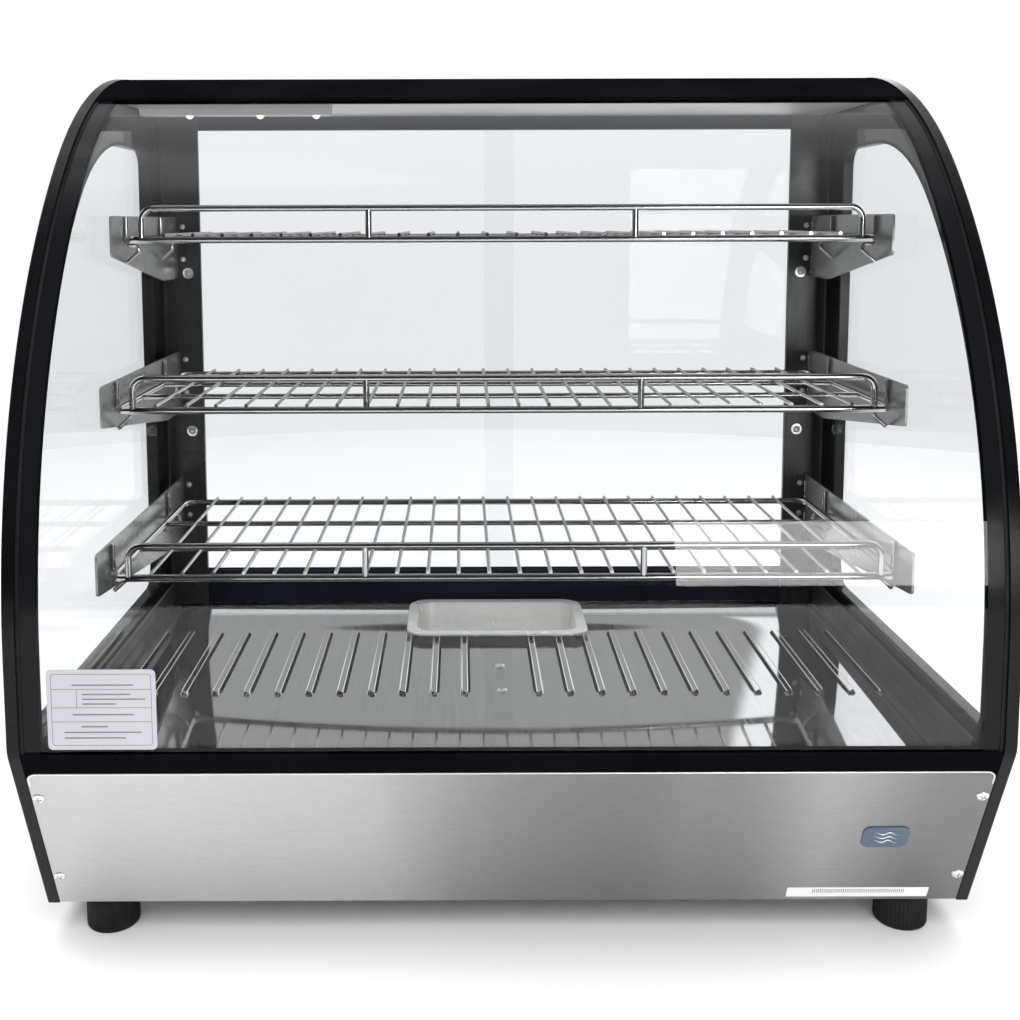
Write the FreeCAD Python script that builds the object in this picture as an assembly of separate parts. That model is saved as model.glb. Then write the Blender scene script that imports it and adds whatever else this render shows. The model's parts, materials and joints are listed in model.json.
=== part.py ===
"""Countertop hot food display case with a curved front glass.

Units are millimetres.  +X is the operator's left-to-right seen from the front, +Y points to
the rear (service side) and +Z up.  The origin is the middle of the footprint, on the counter.
Depths, whose names end in _D or are just d, are measured rearwards from the front-most plane.
"""
import FreeCAD, Part
import math
import os

from FreeCAD import Placement, Rotation, Vector

# ---- overall envelope --------------------------------------------------------------------------
WIDTH = 695.0
DEPTH = 462.0
HEIGHT = 670.0
FOOT_HEIGHT = 28.0

# ---- side outline: slanted base, knee, two tangent arcs, flat top ------------------------------
TOE_D = 68.0
KNEE_Z = 175.0
KNEE_RADIUS = 24.0
FRONT_TANGENT_Z = 240.0
TOP_TANGENT_D = 357.0
TOP_RADIUS = 300.0

# ---- side frames and their windows -------------------------------------------------------------
SIDE_THICKNESS = 9.0
SIDE_EDGE_ROUND = 1.5
WINDOW_INSET = 40.0
WINDOW_REAR_D = 390.0
WINDOW_BOTTOM = 177.0
WINDOW_TOP = 607.0
PANE_THICKNESS = 4.0
GASKET_THICKNESS = 0.8
GASKET_BAND = 3.2

# ---- curved front glass and top ----------------------------------------------------------------
GLASS_INSET = 3.0
GLASS_THICKNESS = 5.0
GLASS_HALF_WIDTH = 336.0
GLASS_TOP_D = 240.0
TRIM_TOP_D = 231.0
TRIM_SKIN = 2.2
ROOF_FRONT_D = 380.0
SHEET = 1.2
CEILING_Z = 645.0
CEILING_FRONT_D = 268.0

# ---- rear posts, tracks and doors --------------------------------------------------------------
POST_D = 441.0
POST_SHEET = 1.5
POST_WIDTH = 38.0
INNER_TRACK_D = 450.5
OUTER_TRACK_D = 457.0
DOOR_THICKNESS = 4.0
TRACK_GROOVE = 5.0
TRACK_FRONT_D = 446.5
TRACK_REAR_D = 461.0
LOWER_TRACK_Z = (139.5, 173.0)
UPPER_TRACK_Z = (632.0, 645.0)
DOOR_Z = (160.0, 641.0)
DOOR_WIDTH = 346.0
LEFT_DOOR_X = -326.0
RIGHT_DOOR_X = -10.0
PULL_WIDTH = 9.0

# ---- shelves: name, height of the frame wire, depth of the front wire --------------------------
SHELVES = (("bottom", 256.0, 145.0), ("middle", 387.0, 172.0), ("top", 524.0, 215.0))
SHELF_REAR_D = 408.0
SHELF_HALF_WIDTH = 314.5
SHELF_CORNER = 12.0
FRAME_WIRE = 3.0
ROD_WIRE = 1.5
GUARD_WIRE = 2.75
ROD_COUNT = 24
ROD_PITCH = 24.5
WELD_DEPTH = 0.5
GUARD_HEIGHT = 26.0
GUARD_HALF_WIDTH = 300.0
GUARD_POST_X = 111.0

# ---- shelf brackets ----------------------------------------------------------------------------
BRACKET_X = 323.5
BRACKET_SHEET = 2.0
BRACKET_RISE = 20.0
BRACKET_FRONT_HEIGHT = 34.0
BRACKET_REAR_HEIGHT = 62.0
BRACKET_OVERHANG = 5.0
HOOK_DROPS = (8.0, 42.0)
HOOK_HEIGHT = 10.0
HOOK_LIP = 5.0
REST_WIRE = 1.8
REST_REAR_D = 368.0
REST_SETBACK = 38.0
REST_GAP = 0.3
REST_LEG = 6.0
REST_KICK = 9.0

# ---- base, deck and pan ------------------------------------------------------------------------
DECK_Z = 138.0
DECK_FRONT_D = 34.0
FRONT_PANEL_TOP = 156.5
FRONT_PANEL_CORNER = 6.0
LOWER_TRIM_TOP = 172.6
REAR_PANEL_D = 449.0
LOUVRE_PITCH = 26.6
LOUVRE_FIRST_X = 32.0
LOUVRES_PER_SIDE = 12
LOUVRE_D = (193.0, 353.0)
LOUVRE_HALF_WIDTH = 3.5
LOUVRE_TOP_HALF_WIDTH = 2.4
LOUVRE_RISE = 2.4
PAN_CENTRE_D = 380.0
PAN_RIM = (176.0, 108.0)
PAN_BODY = (158.0, 90.0)
PAN_FLOOR = (148.0, 80.0)
PAN_DEPTH = 65.0
PAN_RIM_Z = 146.0
PAN_SHEET = 1.0

# ---- feet --------------------------------------------------------------------------------------
FOOT_X = 305.0
FOOT_DEPTHS = (92.0, 410.0)
FOOT_RADIUS = 20.0

# ---- controls on the rear panel ----------------------------------------------------------------
CONTROL_Z = 86.0
KNOB_X = -215.0
DISPLAY_X = -140.0
ROCKERS = (("rocker_power", -290.0), ("rocker_lamp", -265.0))
ROCKER_TILT = 8.0
ROCKER_PIVOT = 2.5
ROCKER_PIN = 1.6
GLAND_X = 285.0
GLAND_Z = 62.0

HALF_WIDTH = WIDTH / 2.0
HALF_INNER = HALF_WIDTH - SIDE_THICKNESS
PANE_X = HALF_INNER - GASKET_THICKNESS
SLOPE = math.atan2(TOE_D, KNEE_Z - FOOT_HEIGHT)


# ---- helpers -----------------------------------------------------------------------------------
def back(d):
    """Y of a point that lies d behind the front-most plane."""
    return d - DEPTH / 2.0


def box(x0, x1, d0, d1, z0, z1):
    """Box between two X, two depths and two heights."""
    return Part.makeBox(x1 - x0, d1 - d0, z1 - z0, Vector(x0, back(d0), z0))


def rod_x(x0, x1, d, z, radius):
    return Part.makeCylinder(radius, x1 - x0, Vector(x0, back(d), z), Vector(1, 0, 0))


def rod_y(x, d0, d1, z, radius):
    return Part.makeCylinder(radius, d1 - d0, Vector(x, back(d0), z), Vector(0, 1, 0))


def rod_z(x, d, z0, z1, radius):
    return Part.makeCylinder(radius, z1 - z0, Vector(x, back(d), z0), Vector(0, 0, 1))


def mirrored(shape):
    """The same shape on the other side of the X = 0 plane."""
    return shape.mirror(Vector(0, 0, 0), Vector(1, 0, 0))


def group(shapes):
    return Part.makeCompound(list(shapes))


def fused(shapes):
    """One welded solid."""
    first = shapes[0]
    return first.fuse(list(shapes[1:])).removeSplitter()


def along_x(shape, x0, x1, tolerance=1e-3):
    """Edges of a prism that run along X from x0 to x1."""
    found = []
    for edge in shape.Edges:
        a, b = edge.Vertexes[0].Point, edge.Vertexes[-1].Point
        if abs(a.y - b.y) < tolerance and abs(a.z - b.z) < tolerance:
            if abs(abs(a.x - b.x) - (x1 - x0)) < tolerance:
                found.append(edge)
    return found


def rounded_slab(cx, cd, z0, z1, length, width, radius):
    """Plate with rounded vertical corners."""
    slab = box(cx - length / 2, cx + length / 2, cd - width / 2, cd + width / 2, z0, z1)
    corners = [e for e in slab.Edges if abs(e.Vertexes[0].Z - e.Vertexes[-1].Z) > (z1 - z0) / 2]
    return slab.makeFillet(radius, corners)


def bent_wire(points, bend, radius, closed=False):
    """Round wire of one radius along straight runs joined by tangent arcs."""
    count = len(points)
    corners = []
    for index in range(count):
        here = points[index]
        if not closed and index in (0, count - 1):
            corners.append((here, here, here))
            continue
        before = (points[index - 1] - here).normalize()
        after = (points[(index + 1) % count] - here).normalize()
        half = before.getAngle(after) / 2.0
        reach = bend / math.tan(half)
        middle = (before + after).normalize()
        inside = here + middle * (bend / math.sin(half) - bend)
        corners.append((here + before * reach, inside, here + after * reach))
    edges = []
    for index in range(count):
        start, inside, end = corners[index]
        if not start.isEqual(end, 1e-6):
            edges.append(Part.Arc(start, inside, end).toShape())
        if index < count - 1 or closed:
            following = corners[(index + 1) % count][0]
            if not end.isEqual(following, 1e-6):
                edges.append(Part.LineSegment(end, following).toShape())
    path = Part.Wire(edges)
    start = path.Edges[0].valueAt(path.Edges[0].FirstParameter)
    heading = path.Edges[0].tangentAt(path.Edges[0].FirstParameter)
    section = Part.Wire(Part.makeCircle(radius, start, heading))
    return path.makePipeShell([section], True, False)


def slope_frame():
    """Frame of the slanted base front: local z runs up the slope, local y points inwards."""
    return Placement(Vector(0, back(TOE_D), FOOT_HEIGHT), Rotation(Vector(1, 0, 0), math.degrees(SLOPE)))


def up_slope(z):
    """Distance up the slope to the height z."""
    return (z - FOOT_HEIGHT) / math.cos(SLOPE)


def slope_box(x0, x1, y0, y1, s0, s1):
    """Box in the frame of the slanted base front."""
    shape = Part.makeBox(x1 - x0, y1 - y0, s1 - s0, Vector(x0, y0, s0))
    shape.Placement = slope_frame().multiply(shape.Placement)
    return shape


# ---- the cabinet's side outline ----------------------------------------------------------------
def side_outline(inset):
    """Closed side outline in the YZ plane, moved inwards everywhere by inset."""
    def at(d, z):
        return Vector(0, back(d), z)

    def polar(centre, radius, angle):
        return at(centre[0] + radius * math.cos(angle), centre[1] + radius * math.sin(angle))

    sin, cos = math.sin(SLOPE), math.cos(SLOPE)
    run = inset * (1 - sin) / cos
    toe = at(TOE_D + inset * cos - run * sin, FOOT_HEIGHT + inset)

    bend = max(KNEE_RADIUS, inset + 1.0)
    knee_run = (TOE_D + bend * cos - bend) / sin
    knee = (bend, FOOT_HEIGHT + bend * sin + knee_run * cos)
    knee_arc = [polar(knee, bend - inset, math.pi + part * SLOPE) for part in (1.0, 0.5, 0.0)]

    top = (TOP_TANGENT_D, HEIGHT - TOP_RADIUS)
    rise = top[1] - FRONT_TANGENT_Z
    front_radius = ((TOP_TANGENT_D ** 2 + rise ** 2 - TOP_RADIUS ** 2)
                    / (2 * (TOP_TANGENT_D - TOP_RADIUS)))
    front = (front_radius, FRONT_TANGENT_Z)
    meeting = math.atan2(rise, TOP_TANGENT_D - front_radius)
    front_arc = [polar(front, front_radius - inset, a)
                 for a in (math.pi, (math.pi + meeting) / 2, meeting)]
    top_arc = [polar(top, TOP_RADIUS - inset, a)
               for a in (meeting, (meeting + math.pi / 2) / 2, math.pi / 2)]

    top_rear = at(DEPTH - inset, HEIGHT - inset)
    foot_rear = at(DEPTH - inset, FOOT_HEIGHT + inset)
    return Part.Wire([
        Part.LineSegment(toe, knee_arc[0]).toShape(),
        Part.Arc(*knee_arc).toShape(),
        Part.LineSegment(knee_arc[2], front_arc[0]).toShape(),
        Part.Arc(*front_arc).toShape(),
        Part.Arc(*top_arc).toShape(),
        Part.LineSegment(top_arc[2], top_rear).toShape(),
        Part.LineSegment(top_rear, foot_rear).toShape(),
        Part.LineSegment(foot_rear, toe).toShape()])


def side_prism(inset, x0, x1):
    """The side outline, inset, as a solid from x0 to x1."""
    face = Part.Face(side_outline(inset))
    solid = face.extrude(Vector(x1 - x0, 0, 0))
    solid.translate(Vector(x0, 0, 0))
    return solid


def bent_skin(outer, inner, x0, x1, trim):
    """Sheet between two insets of the side outline, kept only inside the trim solid."""
    return side_prism(outer, x0, x1).cut(side_prism(inner, x0 - 1, x1 + 1)).common(trim)


def window_prism(x0, x1, grow=0.0):
    """Side window with rounded corners, grown on all sides by grow."""
    rough = side_prism(WINDOW_INSET - grow, x0, x1)
    keep = box(x0, x1, 0, WINDOW_REAR_D + grow, WINDOW_BOTTOM - grow, WINDOW_TOP + grow)
    rough = rough.common(keep).Solids[0]
    rear_edge = back(WINDOW_REAR_D + grow) - 0.01
    for upper, rear, radius in ((True, False, 180.0), (True, True, 16.0), (False, True, 20.0),
                                (False, False, 3.0)):
        level = WINDOW_TOP + grow if upper else WINDOW_BOTTOM - grow
        corner = [e for e in along_x(rough, x0, x1)
                  if abs(e.Vertexes[0].Z - level) < 0.01 and (e.Vertexes[0].Y > rear_edge) == rear]
        rough = rough.makeFillet(radius + grow, corner)
    return rough


# ---- side frames, panes, gaskets ---------------------------------------------------------------
def side_frame():
    frame = side_prism(0, HALF_INNER, HALF_WIDTH)
    outer_rim = [e for e in frame.Edges
                 if all(abs(v.X - HALF_WIDTH) < 1e-3 for v in e.Vertexes)]
    frame = frame.makeFillet(SIDE_EDGE_ROUND, outer_rim)
    return frame.cut(window_prism(HALF_INNER - 1, HALF_WIDTH + 1))


def side_pane():
    pane = side_prism(GLASS_INSET + GLASS_THICKNESS + 0.6, PANE_X - PANE_THICKNESS, PANE_X)
    keep = box(0, WIDTH, 0, POST_D - 0.5, WINDOW_BOTTOM - 12, CEILING_Z - 4)
    rail = box(0, WIDTH, -1, 26, 0, LOWER_TRIM_TOP + 3)
    return pane.common(keep).cut(rail)


def side_gasket():
    band = window_prism(PANE_X, HALF_INNER, GASKET_BAND)
    return band.cut(window_prism(PANE_X - 1, HALF_INNER + 1, 0.3))


# ---- curved glass, top trim, roof --------------------------------------------------------------
def front_glass():
    trim = box(-WIDTH, WIDTH, -1, GLASS_TOP_D, LOWER_TRIM_TOP - 3.5, HEIGHT + 1)
    return bent_skin(GLASS_INSET, GLASS_INSET + GLASS_THICKNESS,
                     -GLASS_HALF_WIDTH, GLASS_HALF_WIDTH, trim)


def front_glass_seals():
    trim = box(-WIDTH, WIDTH, -1, TRIM_TOP_D - 2, LOWER_TRIM_TOP + 1.4, HEIGHT + 1)
    strip = bent_skin(GLASS_INSET - 0.6, GLASS_INSET + GLASS_THICKNESS + 0.5,
                      GLASS_HALF_WIDTH, HALF_INNER, trim)
    return group([strip, mirrored(strip)])


def top_front_trim():
    trim = box(-WIDTH, WIDTH, TRIM_TOP_D, ROOF_FRONT_D, 0, HEIGHT + 1)
    upper = box(-WIDTH, WIDTH, TRIM_TOP_D, ROOF_FRONT_D, KNEE_Z + 100, HEIGHT + 1)
    skin = bent_skin(0.3, TRIM_SKIN, -HALF_INNER, HALF_INNER, trim).common(upper)
    lip_keep = box(-WIDTH, WIDTH, TRIM_TOP_D, TRIM_TOP_D + 2.0, KNEE_Z + 100, HEIGHT + 1)
    lip = bent_skin(0.3, GLASS_INSET - 0.2, -HALF_INNER, HALF_INNER, lip_keep)
    back_keep = box(-WIDTH, WIDTH, GLASS_TOP_D + 1, GLASS_TOP_D + 4, KNEE_Z + 100, HEIGHT + 1)
    rib = bent_skin(0.3, GLASS_INSET + GLASS_THICKNESS + 0.5, -HALF_INNER, HALF_INNER, back_keep)
    return fused([skin, lip, rib])


def roof_panel():
    top = box(-HALF_INNER, HALF_INNER, ROOF_FRONT_D, DEPTH, HEIGHT - SHEET, HEIGHT)
    rear = box(-HALF_INNER, HALF_INNER, DEPTH - SHEET, DEPTH, CEILING_Z + 1, HEIGHT)
    return fused([top, rear])


def ceiling_liner():
    flat = box(-PANE_X, PANE_X, CEILING_FRONT_D, TRACK_REAR_D - 1, CEILING_Z, CEILING_Z + SHEET)
    front = box(-PANE_X, PANE_X, CEILING_FRONT_D, CEILING_FRONT_D + SHEET, CEILING_Z, CEILING_Z + 8)
    return fused([flat, front])


# ---- lamp --------------------------------------------------------------------------------------
LAMP_X = (-318.0, -150.0)
LAMP_D = (286.0, 312.0)
LAMP_LENS_XS = (-276.0, -213.0, -163.0)


def lamp_housing():
    body = box(LAMP_X[0], LAMP_X[1], LAMP_D[0], LAMP_D[1], CEILING_Z - 12, CEILING_Z)
    lower = [e for e in along_x(body, LAMP_X[0], LAMP_X[1]) if e.Vertexes[0].Z < CEILING_Z - 6]
    return body.makeChamfer(5.0, lower)


def lamp_lenses():
    middle = (LAMP_D[0] + LAMP_D[1]) / 2.0
    floor = CEILING_Z - 12
    lenses = []
    for x in LAMP_LENS_XS:
        ball = Part.makeSphere(9.0, Vector(x, back(middle), floor + 5.0))
        lenses.append(ball.common(box(x - 10, x + 10, middle - 10, middle + 10, floor - 6, floor)))
    return group(lenses)


# ---- rear posts and tracks ---------------------------------------------------------------------
def bracket_top(shelf_z):
    return shelf_z + BRACKET_RISE


def post():
    """Right-hand post: a face plate with a flange along the side, slotted for the shelf hooks."""
    face = box(HALF_INNER - POST_WIDTH, HALF_INNER, POST_D, POST_D + POST_SHEET, DECK_Z + 1, CEILING_Z)
    side_x = PANE_X - PANE_THICKNESS - 0.3
    flange = box(side_x - POST_SHEET, side_x, POST_D - 22, POST_D, DECK_Z + 1, CEILING_Z)
    fold_x = HALF_INNER - POST_WIDTH
    fold = box(fold_x, fold_x + POST_SHEET, POST_D, TRACK_FRONT_D - 0.2, DECK_Z + 1, CEILING_Z)
    shape = fused([face, flange, fold])
    for _, z, _ in SHELVES:
        for drop in HOOK_DROPS:
            top = bracket_top(z) - drop
            slot = box(BRACKET_X - 0.4, BRACKET_X + BRACKET_SHEET + 0.4, POST_D - 0.5,
                       POST_D + POST_SHEET + 0.5, top - HOOK_HEIGHT - HOOK_LIP - 1, top + 1)
            shape = shape.cut(slot)
    return shape


POST_SCREW_X = 313.0
POST_SCREW_Z = (324.0, 487.0)


def post_screws():
    screws = []
    for z in POST_SCREW_Z:
        washer = rod_y(POST_SCREW_X, POST_D - 1.0, POST_D, z, 5.5)
        head = Part.makeSphere(6.0, Vector(POST_SCREW_X, back(POST_D + 2.4), z))
        head = head.common(box(POST_SCREW_X - 7, POST_SCREW_X + 7, POST_D - 8, POST_D - 1.0, z - 7, z + 7))
        screws.append(fused([washer, head]))
    return group(screws + [mirrored(s) for s in screws])


def track(z0, z1, groove_z0, groove_z1):
    """Extruded rail with two grooves for the doors."""
    shape = box(-HALF_INNER, HALF_INNER, TRACK_FRONT_D, TRACK_REAR_D, z0, z1)
    for centre in (INNER_TRACK_D, OUTER_TRACK_D):
        groove = box(-HALF_INNER - 1, HALF_INNER + 1, centre - TRACK_GROOVE / 2,
                     centre + TRACK_GROOVE / 2, groove_z0, groove_z1)
        shape = shape.cut(groove)
    return shape


def upper_track():
    return track(UPPER_TRACK_Z[0], UPPER_TRACK_Z[1], UPPER_TRACK_Z[0] - 1, UPPER_TRACK_Z[1] - 1.5)


def lower_track():
    return track(LOWER_TRACK_Z[0], LOWER_TRACK_Z[1], DOOR_Z[0] - 2, LOWER_TRACK_Z[1] + 1)


# ---- sliding doors -----------------------------------------------------------------------------
def door_glass(x0, centre_d):
    half = DOOR_THICKNESS / 2
    pane = box(x0, x0 + DOOR_WIDTH, centre_d - half, centre_d + half, DOOR_Z[0], DOOR_Z[1])
    return pane.makeChamfer(0.5, pane.Edges)


def door_pull(x0, x1, centre_d, glass):
    """U-channel along the outer edge of a door, used as its grip."""
    half = DOOR_THICKNESS / 2 + 0.9
    low, high = LOWER_TRACK_Z[1] + 3, UPPER_TRACK_Z[0] - 3
    channel = box(x0, x1, centre_d - half, centre_d + half, low, high)
    channel = channel.makeFillet(0.8, [e for e in channel.Edges if abs(e.Length - (high - low)) < 1e-3])
    return channel.cut(glass)


def door_glides(x0, centre_d):
    """Two nylon shoes under a door."""
    shoes = []
    for x in (x0 + 30, x0 + DOOR_WIDTH - 60):
        shoes.append(box(x, x + 30, centre_d - 1.8, centre_d + 1.8, DOOR_Z[0] - 1.6, DOOR_Z[0]))
    return group(shoes)


# ---- shelves -----------------------------------------------------------------------------------
def shelf_grid(z, front_d):
    """Frame loop, cross wires and front-to-back rods, welded into one grid."""
    w = SHELF_HALF_WIDTH
    corners = [Vector(-w, back(front_d), z), Vector(w, back(front_d), z),
               Vector(w, back(SHELF_REAR_D), z), Vector(-w, back(SHELF_REAR_D), z)]
    parts = [bent_wire(corners, SHELF_CORNER, FRAME_WIRE, closed=True)]
    span = SHELF_REAR_D - front_d
    for share in (1 / 3.0, 2 / 3.0):
        parts.append(rod_x(-w, w, front_d + span * share, z, FRAME_WIRE * 0.8))
    rod_z_level = z + FRAME_WIRE + ROD_WIRE - WELD_DEPTH
    for index in range(ROD_COUNT):
        x = (index - (ROD_COUNT - 1) / 2.0) * ROD_PITCH
        parts.append(rod_y(x, front_d - 1, SHELF_REAR_D + 1, rod_z_level, ROD_WIRE))
    return parts[0].fuse(parts[1:])


def shelf_guard(z, front_d, grid):
    """Low rail above the front wire, bent down at both ends, on two short posts."""
    w = GUARD_HALF_WIDTH
    top = z + GUARD_HEIGHT
    points = [Vector(-w, back(front_d), z), Vector(-w, back(front_d), top),
              Vector(w, back(front_d), top), Vector(w, back(front_d), z)]
    parts = [bent_wire(points, 10.0, GUARD_WIRE)]
    for x in (-GUARD_POST_X, GUARD_POST_X):
        parts.append(rod_z(x, front_d, z, top, GUARD_WIRE - 0.15))
    shape = parts[0].fuse(parts[1:])
    return shape.cut(grid)


# ---- brackets ----------------------------------------------------------------------------------
def bracket(z, front_d):
    """Right-hand shelf bracket: a tapered plate with two hooks at the rear."""
    top = bracket_top(z)
    x0, x1 = BRACKET_X, BRACKET_X + BRACKET_SHEET
    front = front_d - BRACKET_OVERHANG
    outline = [(front, top), (POST_D - 0.2, top), (POST_D - 0.2, top - BRACKET_REAR_HEIGHT),
               (POST_D - 60, top - BRACKET_REAR_HEIGHT), (front, top - BRACKET_FRONT_HEIGHT)]
    points = [Vector(x0, back(d), h) for d, h in outline]
    plate = Part.Face(Part.makePolygon(points + points[:1])).extrude(Vector(BRACKET_SHEET, 0, 0))
    tips = [e for e in along_x(plate, x0, x1) if e.Vertexes[0].Y < back(front + 1)]
    plate = plate.makeFillet(4.0, tips)
    parts = [plate]
    for drop in HOOK_DROPS:
        high = top - drop
        parts.append(box(x0, x1, POST_D - 1, POST_D + POST_SHEET + 2.2, high - HOOK_HEIGHT, high))
        parts.append(box(x0, x1, POST_D + POST_SHEET + 0.2, POST_D + POST_SHEET + 2.2,
                         high - HOOK_HEIGHT - HOOK_LIP, high))
    return fused(parts)


def shelf_rest(z, d):
    """Bent wire on the right-hand bracket that carries the shelf's side wire."""
    plate_x = BRACKET_X - REST_WIRE
    inner_x = SHELF_HALF_WIDTH - FRAME_WIRE
    seat = z - FRAME_WIRE - REST_GAP - REST_WIRE
    route = [(plate_x, bracket_top(z) - 1), (plate_x, seat), (inner_x, seat),
             (inner_x, seat - REST_LEG), (plate_x, seat - REST_LEG - REST_KICK)]
    points = [Vector(x, back(d), h) for x, h in route]
    return bent_wire(points, 2.6, REST_WIRE)


def shelf_rests():
    rests = []
    for _, z, front_d in SHELVES:
        for d in (front_d - BRACKET_OVERHANG + REST_SETBACK, REST_REAR_D):
            rests.append(shelf_rest(z, d))
    return group(rests + [mirrored(r) for r in rests])


# ---- base --------------------------------------------------------------------------------------
def front_panel():
    """Slanted steel front with its top and bottom edges folded inwards."""
    w = HALF_INNER - 0.5
    top = up_slope(FRONT_PANEL_TOP)
    face = slope_box(-w, w, 0.4, 0.4 + SHEET, 0.8, top)
    corners = [e for e in face.Edges
               if abs(e.Length - SHEET) < 1e-3 and e.CenterOfMass.z > FRONT_PANEL_TOP - 5]
    face = face.makeFillet(FRONT_PANEL_CORNER, corners)
    upper = slope_box(-w + 7, w - 7, 0.4, 11, top - SHEET, top)
    lower = slope_box(-w + 2, w - 2, 0.4, 14, 2.2, 2.2 + SHEET)
    return fused([face, upper, lower])


def front_screws():
    screws = []
    for z in (56.0, 134.0):
        head = Part.makeCylinder(4.6, 2.0, Vector(HALF_INNER - 5.4, 0.4, up_slope(z)), Vector(0, -1, 0))
        rim = [e for e in head.Edges if all(abs(v.Y + 1.6) < 1e-3 for v in e.Vertexes)]
        head = head.makeChamfer(0.7, rim)
        head.Placement = slope_frame().multiply(head.Placement)
        screws.append(head)
    return group(screws + [mirrored(s) for s in screws])


def lower_front_trim():
    """Black rail that holds the lower edge of the curved glass."""
    w = HALF_INNER
    low, seat, high = up_slope(FRONT_PANEL_TOP) + 1.2, up_slope(LOWER_TRIM_TOP) - 9, up_slope(LOWER_TRIM_TOP)
    glass_back = GLASS_INSET + GLASS_THICKNESS
    body = slope_box(-w, w, 0.2, glass_back + 8, low, seat)
    lip = slope_box(-w, w, 0.2, GLASS_INSET - 0.3, low, high)
    inner = slope_box(-w, w, glass_back + 0.5, glass_back + 3, low, high - 4)
    return fused([body, lip, inner])


def base_tray():
    """Folded bottom sheet with a row of air slots."""
    w = HALF_INNER - 0.3
    floor = box(-w, w, TOE_D + 8, REAR_PANEL_D - 0.5, FOOT_HEIGHT, FOOT_HEIGHT + SHEET)
    rear = box(-w, w, REAR_PANEL_D - 0.5 - SHEET, REAR_PANEL_D - 0.5, FOOT_HEIGHT, FOOT_HEIGHT + 14)
    sides = [box(-w, -w + SHEET, TOE_D + 12, REAR_PANEL_D - 0.5, FOOT_HEIGHT, FOOT_HEIGHT + 14)]
    sides.append(mirrored(sides[0]))
    tray = fused([floor, rear] + sides)
    for row_d in (180.0, 320.0):
        for index in range(-7, 8):
            x = index * 30.0
            tray = tray.cut(box(x - 2.5, x + 2.5, row_d - 30, row_d + 30, FOOT_HEIGHT - 1, FOOT_HEIGHT + 3))
    return tray


def rear_panel():
    """Flat service panel with openings for the controls."""
    w = HALF_INNER
    d0, d1 = REAR_PANEL_D, REAR_PANEL_D + SHEET
    panel = box(-w, w, d0, d1, FOOT_HEIGHT, LOWER_TRACK_Z[0])
    panel = panel.cut(rod_y(KNOB_X, d0 - 1, d1 + 1, CONTROL_Z, 4.0))
    panel = panel.cut(box(DISPLAY_X - 22.2, DISPLAY_X + 22.2, d0 - 1, d1 + 1,
                          CONTROL_Z - 10.2, CONTROL_Z + 10.2))
    for _, x in ROCKERS:
        panel = panel.cut(box(x - 7.2, x + 7.2, d0 - 1, d1 + 1, CONTROL_Z - 11.2, CONTROL_Z + 11.2))
    panel = panel.cut(rod_y(GLAND_X, d0 - 1, d1 + 1, GLAND_Z, 8.0))
    for index in range(12):
        x = 60.0 + index * 14.0
        panel = panel.cut(box(x - 2, x + 2, d0 - 1, d1 + 1, 58, 112))
    return panel


def louvre(x):
    """Pressed flat-topped rib whose front end slopes to a point on its outer side."""
    d0, d1 = LOUVRE_D
    outer = math.copysign(1.0, x)

    def at(across, d, z):
        return Vector(x + outer * across, back(d), z)

    ground, crown = DECK_Z - SHEET / 2, DECK_Z + LOUVRE_RISE
    w, top_w = LOUVRE_HALF_WIDTH, LOUVRE_TOP_HALF_WIDTH
    foot = [at(w, d1, ground), at(-w, d1, ground), at(-w, d0 + 2.5, ground),
            at(0.5 * w, d0, ground), at(w, d0 + 4.5, ground)]
    top = [at(top_w, d1 - 1, crown), at(-top_w, d1 - 1, crown), at(-top_w, d0 + 4, crown),
           at(top_w, d0 + 8, crown)]
    rings = [foot, top,
             [foot[0], foot[1], top[1], top[0]], [foot[1], foot[2], top[2], top[1]],
             [foot[0], foot[4], top[3], top[0]],
             [foot[2], foot[3], top[2]], [foot[3], top[3], top[2]], [foot[3], foot[4], top[3]]]
    faces = [Part.Face(Part.makePolygon(ring + ring[:1])) for ring in rings]
    rib = Part.makeSolid(Part.makeShell(faces))
    return rib if rib.Volume > 0 else rib.reversed()


def deck_plate():
    """Louvred cooking deck with the opening and raised collar of the water pan."""
    w = HALF_INNER - 0.5
    plate = box(-w, w, DECK_FRONT_D, POST_D - 0.5, DECK_Z - SHEET, DECK_Z)
    tongue = box(-w + POST_WIDTH + 1, w - POST_WIDTH - 1, POST_D - 1, TRACK_FRONT_D - 0.3,
                 DECK_Z - SHEET, DECK_Z)
    front_fold = box(-w, w, DECK_FRONT_D, DECK_FRONT_D + SHEET, DECK_Z - 16, DECK_Z)
    collar = rounded_slab(0, PAN_CENTRE_D, DECK_Z - SHEET, PAN_RIM_Z - 2.2,
                          PAN_RIM[0] - 6, PAN_RIM[1] - 6, 16)
    xs = [LOUVRE_FIRST_X + index * LOUVRE_PITCH for index in range(LOUVRES_PER_SIDE)]
    xs = [side * x for x in xs for side in (-1, 1)]
    clear_of_pan = PAN_RIM[0] / 2 + 8
    ribs = []
    for x in xs:
        rib = louvre(x)
        if abs(x) < clear_of_pan:
            rib = rib.common(box(x - 6, x + 6, 0, PAN_CENTRE_D - PAN_RIM[1] / 2 - 4, 0, HEIGHT))
        ribs.append(rib)
    deck = fused([plate, tongue, front_fold, collar] + ribs)
    opening = rounded_slab(0, PAN_CENTRE_D, DECK_Z - 5, PAN_RIM_Z + 5, PAN_BODY[0] + 3, PAN_BODY[1] + 3, 14)
    return deck.cut(opening)


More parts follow.
